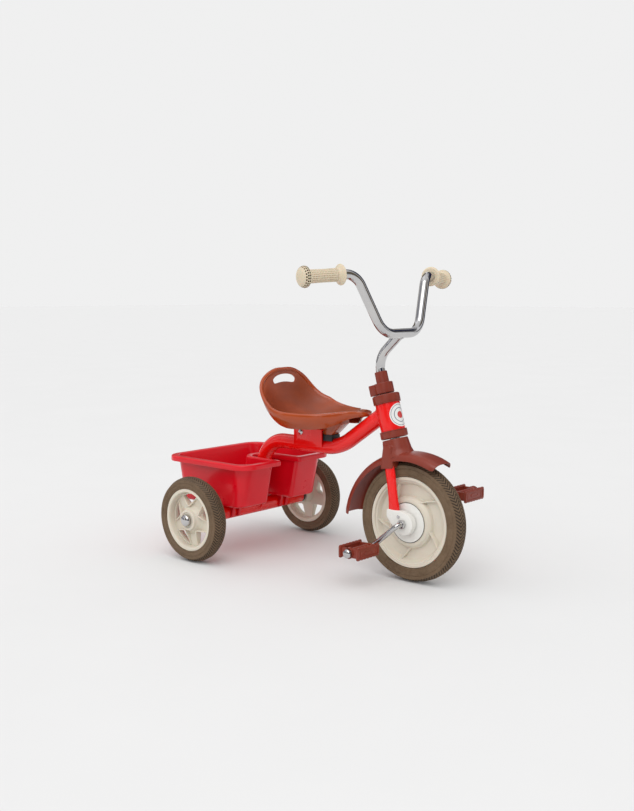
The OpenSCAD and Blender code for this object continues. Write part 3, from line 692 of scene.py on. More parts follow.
def hub_cap(side):
    """The disc over the hub, with a thin black ring around it: a painted shadow line in the gap at its edge."""
    node = "hub_cap_" + side
    matrix = outboard(FRONT)
    profile = rounded([(5.6, 18.1), (41.4, 18.1), (41.4, 18.7), (40.6, 19.35), (12, 19.35), (5.6, 19.35)],
                      [0.1, 0.1, 0.3, 0.5, 0, 0.2], 3)
    # Painted shadow: a black ring laid in the rim's groove, where the gap is only dark from shade.
    line = rounded([(41.5, 18.0), (42.5, 18.0), (42.5, 18.5), (41.5, 18.5)], 0.15, 2)
    discs = [revolve("disc", matrix, profile, WHITE, 128), revolve("line", matrix, line, BLACK, 128)]
    piece = joined("discs", discs)
    if side == "left":
        piece = flipped(piece)
    piece.name = node + "_disc"
    settle(piece, "front_wheel", "white_plastic", node)


hub_cap("right")
hub_cap("left")


# ---- Cranks and pedals ----

CRANK_THROW, CRANK_ANGLE = 76, math.radians(41.6)
PEDAL_X, PEDAL_Z = CRANK_THROW * math.cos(CRANK_ANGLE), CRANK_THROW * math.sin(CRANK_ANGLE)
PEDAL_IN, PEDAL_OUT = 72, 143


def from_front(x, y, z):
    return FRONT + Vector((x, y, z)) * MM


def crank():
    """The axle and both cranks, one bent rod."""
    tip = from_front(-PEDAL_X, -PEDAL_OUT - 3, -PEDAL_Z)
    elbow = from_front(-PEDAL_X, -63, -PEDAL_Z)
    shoulder = from_front(0, -54, 0)
    half = [tip, elbow, shoulder]
    other = [FRONT * 2 - p for p in half[::-1]]
    path = bent(half + other, [0, 11, 12, 12, 11, 0], 1.2)
    rows = sweep_rows(path, circle_section(5.5, 32), X)
    return skinned("crank_rod", rows, CHROME, loop_points=True, caps=True)


settle(crank(), "front_wheel", "chrome", "crank")


crank_nut = prism("nut", outboard(FRONT), [circle(10, 6), circle(5.6, 24)], 36.6, 43.1, CHROME, 0.7)
mirror_pair(crank_nut, "crank_nuts_hex", "front_wheel", "chrome", "crank_nuts")


def tread_plate(name, matrix):
    """A pedal's tread plate: toothed edges, and a sunk panel with an oval in relief."""
    half_h, length, teeth, notch = 13, PEDAL_OUT - PEDAL_IN, 7, 1.8
    pitch = length / teeth
    edge = [(0, half_h - notch)]
    for k in range(teeth):
        edge += [((k + 0.22) * pitch, half_h), ((k + 0.78) * pitch, half_h)]
        edge.append(((k + 1) * pitch, half_h - notch))
    outline = edge + [(x, -y) for x, y in edge[::-1]]
    core = prism(name, matrix, [outline], 1.2, 4.8, BROWN, 0.5, 2)
    frame_out = rounded([(1, -10.2), (length - 1, -10.2), (length - 1, 10.2), (1, 10.2)], 2.5, 4)
    frame_in = rounded([(4, -7.6), (length - 4, -7.6), (length - 4, 7.6), (4, 7.6)], 2.0, 4)
    border = prism(name + "_border", matrix, [frame_out, frame_in], 0, 6, BROWN, 0.5, 2)
    mid = length / 2
    oval = [(mid + 15 * math.cos(a), 5.2 * math.sin(a)) for a in turns(40)]
    hole = [(mid + 12 * math.cos(a), 2.8 * math.sin(a)) for a in turns(40)]
    relief = prism(name + "_oval", matrix, [oval, hole], 0.4, 5.6, BROWN, 0.4, 2)
    ends = []
    for x in (mid - 25, mid + 25):
        bar = rounded([(x - 1.2, -6), (x + 1.2, -6), (x + 1.2, 6), (x - 1.2, 6)], 1.0, 3)
        ends.append(prism(f"{name}_bar{x:.0f}", matrix, [bar], 0.6, 5.4, BROWN, 0.4, 2))
    return [core, border, relief, *ends]


def pedal(node, centre, side):
    """Two tread plates, joined by end bars and by the tube around the crank."""
    parts = []
    middle = outboard(Vector((centre.x, 0, centre.z)))
    for x in (-26, 20):
        near = x + 6 if side > 0 else x
        matrix = frame_of(centre + Vector((near, -PEDAL_IN * side, 0)) * MM, -Y * side, Z)
        parts += tread_plate(f"plate{x}", matrix)
    outline = rounded([(-22, -9), (22, -9), (22, 9), (-22, 9)], 2.0, 3)
    for low, high in ((PEDAL_IN + 3, PEDAL_IN + 9), (PEDAL_OUT - 9, PEDAL_OUT - 3)):
        bar = prism(f"bar{low}", middle, [outline, circle(6, 24)], low, high, BROWN, 0.8)
        parts.append(bar if side > 0 else flipped(bar))
    tube_profile = rounded([
        (5.6, PEDAL_IN), (9, PEDAL_IN), (8.4, PEDAL_IN + 12), (8.4, PEDAL_OUT - 14), (9.2, PEDAL_OUT - 10),
        (11.6, PEDAL_OUT - 8), (11.6, PEDAL_OUT - 0.2), (9.9, PEDAL_OUT - 0.2), (9.7, PEDAL_OUT - 4),
        (5.6, PEDAL_OUT - 4)], [0.3, 1, 1, 1, 1, 1, 0.7, 0.7, 0.3, 0.2], 3)
    core = revolve("tube", middle, tube_profile, BROWN, 48)
    parts.append(core if side > 0 else flipped(core))
    settle(joined(node + "_body", parts), node, "brown_plastic", node)


right_pedal = from_front(-PEDAL_X, 0, -PEDAL_Z)
left_pedal = from_front(PEDAL_X, 0, PEDAL_Z)
pedal("pedal_right", right_pedal, 1)
pedal("pedal_left", left_pedal, -1)


def pedal_caps():
    profile = dome(9.5, 3, 5.6, 5.6, 2.7)
    low = (PEDAL_OUT + 0.5) * MM
    right = revolve("cap", outboard(Vector((right_pedal.x, -low, right_pedal.z))), profile, CHROME, 48)
    left = flipped(revolve("cap2", outboard(Vector((left_pedal.x, -low, left_pedal.z))), profile, CHROME, 48))
    return joined("pedal_cap_nuts_domed", [right, left])


settle(pedal_caps(), "front_wheel", "chrome", "pedal_cap_nuts")


# ---- Frame ----

TUBE_R, TUBE_WALL, TUBE_Z = 17, 1.8, 262
REAR_Z = 96
HEAD_R, HEAD_LOW, HEAD_HIGH = 26, 194, 252


MAIN_TUBE = [at(0, 0, REAR_Z), at(50, 0, TUBE_Z), at(267, 0, TUBE_Z), at(401, 0, TUBE_Z + 93)]
RISE = (MAIN_TUBE[1] - MAIN_TUBE[0]).normalized()
CLIMB = (MAIN_TUBE[3] - MAIN_TUBE[2]).normalized()


def main_tube():
    """The bent tube, with the row of small wrinkles that bending leaves inside the first bend."""
    start, end = MAIN_TUBE[0] + RISE * 12 * MM, MAIN_TUBE[3] - CLIMB * 19 * MM
    middle = [p for p in bent(MAIN_TUBE, [0, 70, 120, 0], 1.6)
              if (p - MAIN_TUBE[0]).length > 14 * MM and (p - end).dot(CLIMB) < 0]
    path = [start, *middle, end]
    low, high = at(24, 0, 205), at(92, 0, 0)
    wrinkled = [i for i, p in enumerate(path) if p.z > low.z and low.x < p.x < high.x]
    wrinkles = 9

    def section(i):
        t = (i - wrinkled[0]) / (wrinkled[-1] - wrinkled[0])
        ripple = 0.0
        if 0 <= t <= 1:
            ripple = (0.5 - 0.5 * math.cos(2 * math.pi * wrinkles * t)) * math.sin(math.pi * t) ** 0.5
        ring = []
        for a in turns(56):
            r = TUBE_R - 0.9 * ripple * max(0.0, -math.sin(a)) ** 3
            ring.append((r * math.cos(a), r * math.sin(a)))
        return ring
    return skinned("main_tube_bent", sweep_rows(path, section, Y), RED, loop_points=True, caps=True)


settle(main_tube(), "frame", "frame_red", "main_tube")

rear_point = Vector((REAR.x, 0, REAR.z))
welds = [
    bead("weld_low", saddle(MAIN_TUBE[1], -RISE, TUBE_R, rear_point, Y, TUBE_R), 2.0, RED),
    bead("weld_high", saddle(MAIN_TUBE[2], CLIMB, TUBE_R, FRONT, UP, HEAD_R), 2.2, RED)]
settle(joined("frame_welds", welds), "frame", "frame_red")


def plain_tube(name, matrix, r, r_in, low, high, material, edge=0.6, steps=96):
    profile = rounded([(r_in, low), (r, low), (r, high), (r_in, high)], edge, 3)
    return revolve(name, matrix, profile, material, steps)


axle_matrix = outboard(rear_point)
settle(plain_tube("axle_tube_round", axle_matrix, TUBE_R, TUBE_R - TUBE_WALL, -158, 158, RED),
       "frame", "frame_red", "axle_tube")
settle(plain_tube("head_tube_round", COLUMN, HEAD_R, HEAD_R - 2, HEAD_LOW, HEAD_HIGH, RED),
       "frame", "frame_red", "head_tube")


def collar(name, node, face, reach):
    """A plastic bush: a flange with soft edges and a fine groove, and a plug inside the head tube."""
    step = 1 if reach > face else -1
    high = abs(reach - face)
    profile = [
        (11.1, 0), (26.5, 0), (29, 1.8), (29, high - 3.2), (28.4, high - 2.9), (28.4, high - 2.4),
        (29, high - 2.1), (29, high), (23.8, high), (23.8, high + 11), (11.1, high + 11)]
    shaped = rounded(profile, [0.5, 1.5, 1.5, 0.1, 0.1, 0.1, 0.1, 0.5, 0.2, 1, 0.5], 3)
    piece = revolve(name, COLUMN, [(r, face + step * h) for r, h in shaped], BROWN, 96)
    return settle(piece, "frame", "brown_plastic", node)


collar("upper_collar_bush", "upper_collar", HEAD_HIGH + 19, HEAD_HIGH)
collar("lower_collar_bush", "lower_collar", HEAD_LOW - 16, HEAD_LOW)


def badge():
    """A round film that follows the tube, a little domed at its edge."""
    middle, badge_r, rings = (HEAD_LOW + HEAD_HIGH) / 2, 24.8, 14
    steps = [(badge_r * j / rings, 0.5) for j in range(rings)]
    steps += [(badge_r, lift) for lift in (0.45, 0.2, 0.02)]
    rows = []
    for a in turns(72):
        row = []
        for reach, lift in steps:
            turn = reach * math.cos(a) / HEAD_R
            r = HEAD_R + lift
            row.append(on_column(r * math.cos(turn), r * math.sin(turn), middle + reach * math.sin(a)))
        rows.append(row)
    piece = skinned("head_badge_roundel", rows, BADGE, weld=0, loop_rows=True)
    paint(piece, "radius", [reach / badge_r for reach, _ in steps] * len(rows))
    return piece


settle(badge(), "frame", "badge_film", "head_badge")
settle(refined("seat_bracket", "seat_bracket_channel", RED, 0.8), "frame", "frame_red", "seat_bracket")
for node, ending, material, slot, width in (
        ("seat_pad", "_block", BLACK, "black_rubber", 0.8),
        ("axle_end_bushes", "_round", BLACK, "black_rubber", 0.6),
        ("seat_screws", "_turned", CHROME, "chrome", 0.4),
        ("seat_bracket_bolt", "_turned", CHROME, "chrome", 0.5),
        ("rear_axle_rod", "_turned", CHROME, "chrome", 0.4),
        ("rear_axle_washers", "_turned", CHROME, "chrome", 0.3)):
    settle(refined(node, node + ending, material, width), "frame", slot, node)


# ---- Seat ----

SEAT = [
    # x, z of the sitting surface, half width, lift of the edges, depth of the skirt
    (102, 430, 24, 0, 9), (100.5, 423, 48, 1, 10), (100, 411, 69, 3, 11), (101, 395, 83, 7, 12),
    (104, 375, 92, 16, 14), (113, 352, 99, 27, 20), (130, 334, 106, 32, 27), (156, 324, 110, 28, 34),
    (188, 321, 109, 24, 37), (222, 323, 99, 20, 36), (254, 329, 87, 14, 34), (276, 334, 74, 11, 32),
    (291, 338, 55, 8, 28), (306, 342, 35, 6, 20), (322, 345, 27, 4, 15), (338, 347, 21, 2, 12),
    (347, 347, 13, 0, 10)]


def blended(table, u):
    """A smooth curve through the rows of a table, at u rows from its start."""
    last = len(table) - 1
    u = max(0.0, min(last, u))
    i = min(int(u), last - 1)
    t = u - i
    p = [table[max(0, min(last, i + k))] for k in (-1, 0, 1, 2)]
    return [
        0.5 * (2 * b + (c - a) * t + (2 * a - 5 * b + 4 * c - d) * t * t + (3 * b - a - 3 * c + d) * t ** 3)
        for a, b, c, d in zip(*p)]


def seat_normal(u):
    a, b = blended(SEAT, u - 0.5), blended(SEAT, u + 0.5)
    return Vector((a[1] - b[1], 0, b[0] - a[0])).normalized()


def seat_point(u, v):
    """A point of the dish, in millimetres: v runs from -1 at the right edge to 1 at the left one."""
    x, z, half, lift, _ = blended(SEAT, u)
    return Vector((x, v * half, z)) + seat_normal(u) * lift * abs(v) ** 2.4


def evenly(edge, count):
    """The seat's edge at even distances, as its places in the table and as points."""
    points = [seat_point(u, v) for u, v in edge]
    total, marks = 0.0, [0.0]
    for i in range(len(points)):
        total += (points[(i + 1) % len(points)] - points[i]).length
        marks.append(total)
    places, i = [], 0
    for k in range(count):
        reach = total * k / count
        while marks[i + 1] < reach:
            i += 1
        t = (reach - marks[i]) / (marks[i + 1] - marks[i])
        a, b = edge[i], edge[(i + 1) % len(edge)]
        places.append((a[0] + (b[0] - a[0]) * t, a[1] + (b[1] - a[1]) * t))
    return places, [seat_point(u, v) for u, v in places]


def power(value, exponent):
    """A signed power, for superellipses."""
    return math.copysign(abs(value) ** exponent, value)


def seat():
    """A dish whose edge rolls over into a skirt, with an arched hand hole through its back."""
    last = len(SEAT) - 1
    stations = [last * k / 90 for k in range(91)]
    edge = [(u, -1.0) for u in stations] + [(last, -1 + k / 6) for k in range(1, 12)]
    edge += [(u, 1.0) for u in stations[::-1]] + [(0, 1 - k / 10) for k in range(1, 20)]
    edge, rim = evenly(edge, 280)
    smoothings, rings, skirt_rows = 10, 22, 6
    for _ in range(smoothings):
        rim = [(rim[i - 1] + rim[i] * 2 + rim[(i + 1) % len(rim)]) / 4 for i in range(len(rim))]
    roll_drop = 4.8
    roll = [(-10.5, -2.6), (-9.4, -1.6), (-8, -0.7), (-6.2, 0.0), (-4.2, 0.2), (-2.2, -0.6), (-0.8, -2.2),
            (0, -roll_drop)]
    columns = []
    for i, (u, v) in enumerate(edge):
        spine = max(1.6, min(last - 1.2, u))
        normal = seat_normal(u)
        out = heading(rim, i, closed=True).cross(normal).normalized()
        half, _, depth = blended(SEAT, u)[2:]
        narrow = min(1.0, half / 60)
        border = [
            rim[i] + out * a * (0.4 + 0.6 * narrow) + normal * b * (0.5 + 0.5 * narrow) for a, b in roll]
        start = seat_point(spine, 0)
        column = []
        for s in [k / rings for k in range(rings)]:
            dish = seat_point(spine + (u - spine) * s * 0.9, v * s * 0.9)
            column.append(dish.lerp(start.lerp(border[0], s), s ** 6))
        column += border
        for t in [(k + 1) / skirt_rows for k in range(skirt_rows)]:
            drop = roll_drop + (depth - roll_drop) * t
            column.append(rim[i] - normal * drop - out * (0.20 * half * t * t + 0.6 * t))
        columns.append([at(*p) for p in column])
    bm = bmesh.new()
    rows_to(bm, columns, loop_rows=True)
    size = len(columns[0]) - 1
    for i, face in enumerate(bm.faces):
        face.material_index = 0 if i % size < rings else 1
    shell = build("seat_shell", bm, SEAT_MATTE, SEAT_GLOSS, sharp=60, weld=2e-5)
    shell.data.update()
    up = sum((f.normal.z * f.area for f in shell.data.polygons))
    applied(shell, "SOLIDIFY", 60, thickness=3.0 * MM, offset=-1.0 if up > 0 else 1.0, use_rim=True)
    arch_r = 92
    outline = []
    for a in turns(72):
        turn = math.radians(90 - 23 * power(math.cos(a), 0.62))
        reach = arch_r + 0.3 + 8.9 * power(math.sin(a), 0.62)
        outline.append((reach * math.cos(turn), reach * math.sin(turn)))
    cutter = prism("cutter", frame_of(at(70, 0, 407 - arch_r), Y, Z), [outline], 0, 60, SEAT_GLOSS, 0)
    applied(shell, "BOOLEAN", 60, object=cutter, operation="DIFFERENCE", solver="EXACT")
    bpy.data.objects.remove(cutter)
    bevelled(shell, 1.2, 3, 50, 60)
    return shell


def seat_lugs():
    """The blocks under the seat that stand on the bracket and on the pad."""
    plan = rounded([(174, -22), (230, -22), (230, 22), (174, 22)], 3, 4)
    base = Matrix.Translation(at(0, 0, 0))
    block = prism("block", base, [plan], 301.2, 317.4, SEAT_GLOSS, 0.8)
    side = frame_of(at(0, 13, 0), X, Z)
    foot = rounded([(230, 290.1), (253, 290.1), (282, 316), (282, 331), (262, 326), (230, 319.5)],
                   [2, 3, 3, 1, 0, 1], 4)
    return [block, prism("foot", side, [foot], 0, 26, SEAT_GLOSS, 0.8)]


settle(joined("seat_moulding", [seat()] + seat_lugs()), "frame", "seat_plastic", "seat")


# ---- Bucket ----

RIM_Z, FLOOR_Z, BUCKET_T = 222, 118.5, 2.5
# rear, front, half width, corner radius, slot's half width, slot's end, radius of the slot's front corners
RIM_LINE = (-147, 120, 151, 40, 30, 8, 7)
WALL_TOP = (-132, 105, 136, 32, 38, -5, 9)
WALL_LOW = (-114, 84, 132, 26, 38, -22.6, 9)


def mixed(a, b, t):
    return tuple(p + (q - p) * t for p, q in zip(a, b))


def drawn_in(line, inset):
    rear, front, half, r, slot, end, nose = line
    return (rear + inset, front - inset, half - inset, max(r - inset, 1.5), slot + inset, end - inset,
            max(nose - inset, 1.0))


def u_outline(line, z):
    """The bucket's outline at a height: a round-cornered tray with a slot from its front."""
    rear, front, half, r, slot, end, nose = line
    spans = [
        arc(front - nose, slot + nose, nose, -90, 0, 8), arc(front - r, half - r, r, 0, 90, 14),
        arc(rear + r, half - r, r, 90, 180, 14), arc(rear + r, r - half, r, 180, 270, 14),
        arc(front - r, r - half, r, 270, 360, 14), arc(front - nose, -slot - nose, nose, 0, 90, 8),
        arc(end + slot, 0, slot, 270, 90, 26)]
    parts = (4, 14, 14, 14, 4, 10, 10)
    points = []
    for k, span in enumerate(spans):
        points += span
        a, b = Vector(span[-1]), Vector(spans[(k + 1) % len(spans)][0])
        points += [tuple(a.lerp(b, i / parts[k])) for i in range(1, parts[k])]
    return [at(x, y, z) for x, y in points]


def bucket():
    """One moulded shell: floor, walls, rolled flange and skirt, with the hook plates."""
    foot_r, wall_foot = 7, 125.5

    def wall(z):
        return mixed(WALL_LOW, WALL_TOP, (z - wall_foot) / (RIM_Z - wall_foot))

    def corner(line, inset, z, across, up, level_first, steps=6):
        """Levels that turn a round corner, from a level surface into an upright one or the other way."""
        shares = [(1 - math.sin(a), 1 - math.cos(a)) for a in quarter(steps)]
        if not level_first:
            shares = [(b, a) for a, b in shares]
        return [(drawn_in(line, inset + across * a), z + up * b) for a, b in shares]

    # Up the inside, over the flange, under its skirt, and down the outside.
    levels = corner(WALL_LOW, BUCKET_T, FLOOR_Z + BUCKET_T, foot_r, foot_r, True)
    levels += [(drawn_in(wall(z), BUCKET_T), z) for z in range(135, 216, 10)]
    levels += corner(WALL_TOP, BUCKET_T, RIM_Z, -3.5, -3.5, False, 5)
    levels += corner(RIM_LINE, 0, RIM_Z, 4, -4, True)
    skirt = [(0, 9), (0.1, 11.6), (0.5, 12), (2.1, 12), (2.5, 11.6), (2.8, 6), (4.2, 3.1)]
    levels += [(drawn_in(RIM_LINE, inset), RIM_Z - drop) for inset, drop in skirt]
    levels += [(drawn_in(WALL_TOP, -2.4), RIM_Z - 3.0), (drawn_in(WALL_TOP, -0.6), RIM_Z - 3.8)]
    levels += [(wall(z), z) for z in range(215, 134, -10)]
    levels += corner(WALL_LOW, 0, FLOOR_Z, foot_r, foot_r, False)
    bm = bmesh.new()
    grid = rows_to(bm, [u_outline(line, z) for line, z in levels], loop_points=True)
    for row in (grid[0], grid[-1]):
        edges = [bm.edges.get((row[i - 1], row[i])) for i in range(len(row))]
        bmesh.ops.triangle_fill(bm, use_beauty=True, edges=edges)
    shell = build("shell", bm, BUCKET, sharp=45)
    return joined("bucket_moulding", [shell] + hooks())


def hooks():
    """Plates below the floor, cut to the axle tube."""
    notch = arc(0, REAR_Z, 17.35, 222, -42, 40)
    profile = [(-24, FLOOR_Z + 1.5), (-23.5, 106), (-19, 86)] + notch
    profile += [(20, 86), (25.5, 108), (26, FLOOR_Z + 1.5)]
    outline = rounded(profile, [0, 2, 2] + [0] * len(notch) + [2, 2, 0], 3)
    return [
        prism(f"hook{y}", outboard(at(0, y + 4, 0)), [outline], 0, 8, BUCKET, 0.8) for y in (-90, -70, 70, 90)]


settle(bucket(), "bucket", "bucket_red", "bucket")


# ---- Fork, mudguard and steering ----

def fork_leg():
    """A flattened tube, widest where it ends in the dropout cover."""
    stations = [
        # height above the axle, rear edge, front edge
        (145, -54, -41), (136, -55, -36), (120, -53, -29.5), (100, -49, -25), (80, -45, -22.5),
        (60, -42, -19.5), (44, -40.5, -16.5), (32, -40, -13.6), (24, -40, -13), (17, -40, -13),
        (14.5, -39, -14)]
    half_t, middle, steps = 5.9, 29.4, 60
    rows = []
    for k in range(steps + 1):
        z, rear, front = blended(stations, (len(stations) - 1) * k / steps)
        shrink = 1 - 0.25 * max(0, (k - steps + 2) / 2) ** 2
        thin = half_t * (1 - 0.38 * max(0.0, min(1.0, (z - 92) / 26)))
        row = []
        for a in turns(40):
            u = power(math.cos(a), 0.88) * (front - rear) / 2 * shrink
            v = power(math.sin(a), 0.88) * thin * shrink
            row.append(from_front((rear + front) / 2 + u, -(middle + v), z))
        rows.append(row)
    return skinned("leg", rows, RED, sharp=50, loop_points=True, caps=True)


def fork():
    leg = fork_leg()
    other = mirrored(leg, "other_leg")
    plan = rounded([(-9, -28), (9, -28), (9, 28), (-9, 28)], 3, 4)
    bridge = prism("bridge", COLUMN, [plan], 146, 153, RED, 0)
    boss = plain_tube("boss", COLUMN, 18, 10.2, 146, 162, RED, 1.0)
    return joined("fork_blades", [leg, other, bridge, boss])


settle(fork(), "steering", "frame_red", "fork")

# The guard's centre from the axle, its radius, and its ends in degrees above straight ahead.
GUARD_X, GUARD_Z, GUARD_R, GUARD_FRONT, GUARD_BACK = 2.5, -21, 167, 64, 173


def guard_arc():
    """The guard's arched blade, rolled down along its sides and turned up at its ends."""
    half = [
        (0.0, 1.5), (9, 1.3), (17, 0.6), (23.5, -1.0), (28, -3.6), (31, -7.2), (33.2, -12), (34, -15.6),
        (33.2, -15.9), (31.6, -15.9), (30.8, -12), (28.8, -8.6), (26.2, -5.8), (22.4, -3.6), (16.4, -1.9),
        (8.6, -1.2), (0.0, -1.0)]
    section = rounded(half + [(-w, h) for w, h in half[::-1] if w > 0], 0.8, 2)
    centre = from_front(GUARD_X, 0, GUARD_Z)
    rows = []
    steps = 150
    for k in range(steps + 1):
        a = math.radians(GUARD_FRONT + (GUARD_BACK - GUARD_FRONT) * k / steps)
        near_end = min(k, steps - k)
        lift = GUARD_R + 0.9 * max(0.0, 1 - near_end / 4) ** 2
        tuck = 1 - 0.10 * max(0.0, 1 - near_end / 6) ** 2
        out = Vector((math.cos(a), 0, math.sin(a)))
        rows.append([centre + out * (lift + h * tuck) * MM + Y * w * tuck * MM for w, h in section])
    return skinned("guard", rows, BROWN, loop_points=True, caps=True)


def sleeve():
    """The cover over a blade's top."""
    stations = [
        # height above the axle, rear edge, front edge
        (108, -61, -28.5), (116, -60, -29), (128, -59, -30), (140, -57.5, -32), (150, -56.5, -33),
        (158, -54, -35)]
    steps, tilt = 24, 0.16
    rows = []
    for k in range(steps + 1):
        z, rear, front = blended(stations, (len(stations) - 1) * k / steps)
        outer = 36.4 - 1.6 * (k / steps) ** 2
        corners = rounded([(rear, 12), (front, 12), (front, outer), (rear, outer)], [1, 1, 7, 7], 6)
        rows.append([from_front(x, -y, z + (x - rear) * tilt * (1 - k / steps)) for x, y in corners])
    return skinned("sleeve", rows, BROWN, loop_points=True, caps=True)


def mudguard():
    """Guard, neck and sleeves as one moulding, with soft fillets where they meet."""
    profile = rounded([(11.6, 139), (35, 139), (30.5, 152), (27.6, 172), (27.2, 176), (11.6, 176)],
                      [0, 1, 10, 3, 1.2, 0.8], 5)
    neck = revolve("neck", COLUMN, profile, BROWN, 96)
    right = sleeve()
    whole = joined("mudguard_moulding", [guard_arc(), neck, right, mirrored(right, "left")])
    applied(whole, "REMESH", 60, mode="VOXEL", voxel_size=1.05 * MM, adaptivity=0.0)
    applied(whole, "SMOOTH", 60, factor=0.5, iterations=7)
    return whole


settle(mudguard(), "steering", "brown_plastic", "mudguard")

BAR_R, BAR_Z = 10, 516
bar_low, bar_high, bar_end = at(430, -60, BAR_Z), at(405, -118, 635), at(372, -228, 628)


def other_side(p):
    return Vector((p.x, -p.y, p.z))


half_bar = [bar_end, bar_high, bar_low]
bar_path = bent(half_bar + [other_side(p) for p in half_bar[::-1]], [0, 40, 50, 50, 40, 0], 2.0)
settle(tube("handlebar_bent", bar_path, BAR_R, 1.6, CHROME, Z), "steering", "chrome", "handlebar")
stem_bend, bar_middle = on_column(0, 0, 347), at(430, 0, BAR_Z)
stem_dir = (at(429, 0, BAR_Z) - stem_bend).normalized()
stem_path = bent([on_column(0, 0, 200), stem_bend, at(429, 0, BAR_Z) - stem_dir * 6 * MM], [0, 50, 0], 2.0)
stem_parts = [
    tube("stem_bent", stem_path, BAR_R, 1.6, CHROME),
    bead("stem_bead", saddle(stem_bend, stem_dir, BAR_R, bar_middle, Y, BAR_R), 1.3, CHROME, 40)]
settle(joined("stem_tube", stem_parts), "steering", "chrome", "stem")
steerer = plain_tube("steerer_tube", COLUMN, 11, 10.1, 162, 296, CHROME, 0.3, 64)
settle(steerer, "steering", "chrome", "steerer")


def stem_clamp():
    """The collar: a split round body with a lug, and a narrow sleeve above."""
    low, high, top = 273, 296, 320
    round_part = [
        (11.2, low), (18.6, low), (20, low + 1.4), (20, high - 1.4), (18.8, high), (14.2, high),
        (13.5, high + 1), (13.3, top - 1.2), (12.4, top), (10.2, top), (10.2, high), (11.2, high)]
    profile = rounded(round_part, [0.2, 1, 1, 1, 1, 1, 0.6, 0.8, 0.6, 0.3, 0.1, 0.1], 3)
    body = revolve("body", COLUMN, profile, BROWN, 96)
    plan = rounded([(-32, -12), (-12, -12), (-12, -1), (-32, -1)], [3, 0, 0, 1.2], 4)
    lug = prism("lug", COLUMN, [plan], low, high, BROWN, 1.0)
    return joined("stem_clamp_collar", [body, lug, mirrored(lug, "lug_left")])


settle(stem_clamp(), "steering", "brown_plastic", "stem_clamp")
clamp_bolt = refined("stem_clamp_bolt", "stem_clamp_bolt_hex", CHROME, 0.4)
settle(clamp_bolt, "steering", "chrome", "stem_clamp_bolt")


def dropout_cover():
    """A thick white cover, flat where the blade enters it and round about the axle."""
    foot = arc(0, 0, 24.4, 60, -122, 30)
    corners = [(-42, 26.5), (-6, 26.5)] + foot + [(-34, 1), (-42, 12)]
    outline = rounded(corners, [3, 8] + [0] * len(foot) + [12, 8], 6)
    loops = [outline, circle(5.7, 24)]
    return prism("dropout_cover_right_moulding", outboard(FRONT), loops, 21, 36.4, WHITE, 1.8, 4)


right_cover = dropout_cover()
left_cover = mirrored(right_cover, "dropout_cover_left_moulding")
settle(right_cover, "steering", "white_plastic", "dropout_cover_right")
settle(left_cover, "steering", "white_plastic", "dropout_cover_left")
settle(refined("dropout_screws", "dropout_screws_head", CHROME, 0.3), "steering", "chrome", "dropout_screws")


# ---- Grips ----

def grip(node, start, end):
    """A sleeve with rows of small pits, a collar, and a domed knob with rows of slots."""
    along = (end - start).normalized()
    matrix = frame_of(start, along.orthogonal(), along.cross(along.orthogonal()))
    flange, finish, bore_r = 32, 130, 10.15
    outline = rounded([
        (bore_r, flange + 0.5), (17.5, flange), (20.8, flange + 2.6), (20.8, flange + 4.2),
        (17, flange + 7.5), (14.4, flange + 9.5), (13.3, flange + 13), (13.0, flange + 48), (13.3, finish - 22),
        (15.0, finish - 18.5), (20.4, finish - 16.5), (21.3, finish - 12), (19.6, finish - 6.2),
        (14.5, finish - 2.2), (7.5, finish - 0.5), (0.01, finish - 0.2)],
        [0.5, 2, 2, 2, 3, 2, 4, 30, 3, 2, 2.5, 5, 8, 8, 8, 0], 5, closed=False)
    outline = resampled(outline, 0.75, closed=False)
    pits, pit_step, pit_r = 20, 3.6, 1.15
    slot_rows = ((finish - 13.6, 24, 1.05), (finish - 10.0, 24, 1.05), (finish - 6.5, 20, 0.95))

    def off_middle(a, count, r):
        """How far an angle is from the middle of the nearest of count places round a circle."""
        return ((a * count / (2 * math.pi)) % 1 - 0.5) * 2 * math.pi * r / count

    def sunk(a, r, h):
        depth = 0.0
        if flange + 14 < h < finish - 24 and r < 14:
            lengthwise = (((h - flange) / pit_step) % 1 - 0.5) * pit_step
            depth = 0.8 * max(0.0, 1 - (math.hypot(off_middle(a, pits, 13.2), lengthwise) / pit_r) ** 2)
        for middle, slots, half in slot_rows:
            reach = max(abs(off_middle(a, slots, r)) / 1.25, abs(h - middle) / half)
            if reach < 1.15 and r > 8:
                depth = max(depth, 2.4 * min(1.0, (1.15 - reach) / 0.3))
        return depth

    rows, depths = [], []
    for a in turns(144):
        row = []
        for r, h in outline:
            depth = sunk(a, r, h)
            row.append(matrix @ (Vector(((r - depth) * math.cos(a), (r - depth) * math.sin(a), h)) * MM))
            depths.append(depth)
        rows.append(row)
    bm = bmesh.new()
    rows_to(bm, rows, loop_rows=True)
    bm.verts.index_update()
    # Painted shade: faces sunk into pits take the darker pit colour, and deep slot faces take the darkest.
    for face in bm.faces:
        depth = sum(depths[v.index] for v in face.verts) / 4
        face.material_index = 2 if depth > 1.1 else 1 if depth > 0.2 else 0
    skin = build("skin", bm, GRIP, GRIP_PIT_SHADE, GRIP_HOLLOW_SHADE, sharp=60, weld=2e-5)
    inside = [(bore_r, flange + 0.5), (bore_r, flange + 60), (10.6, flange + 60)]
    bore = revolve("bore", matrix, inside, GRIP, 48, closed=False)
    settle(joined(node + "_sleeve", [skin, bore]), "steering", "grip_plastic", node)


grip("grip_right", bar_high, bar_end)
grip("grip_left", other_side(bar_high), other_side(bar_end))


# ---- Floor, light and camera ----

def grey(level):
    return (level, level, level)


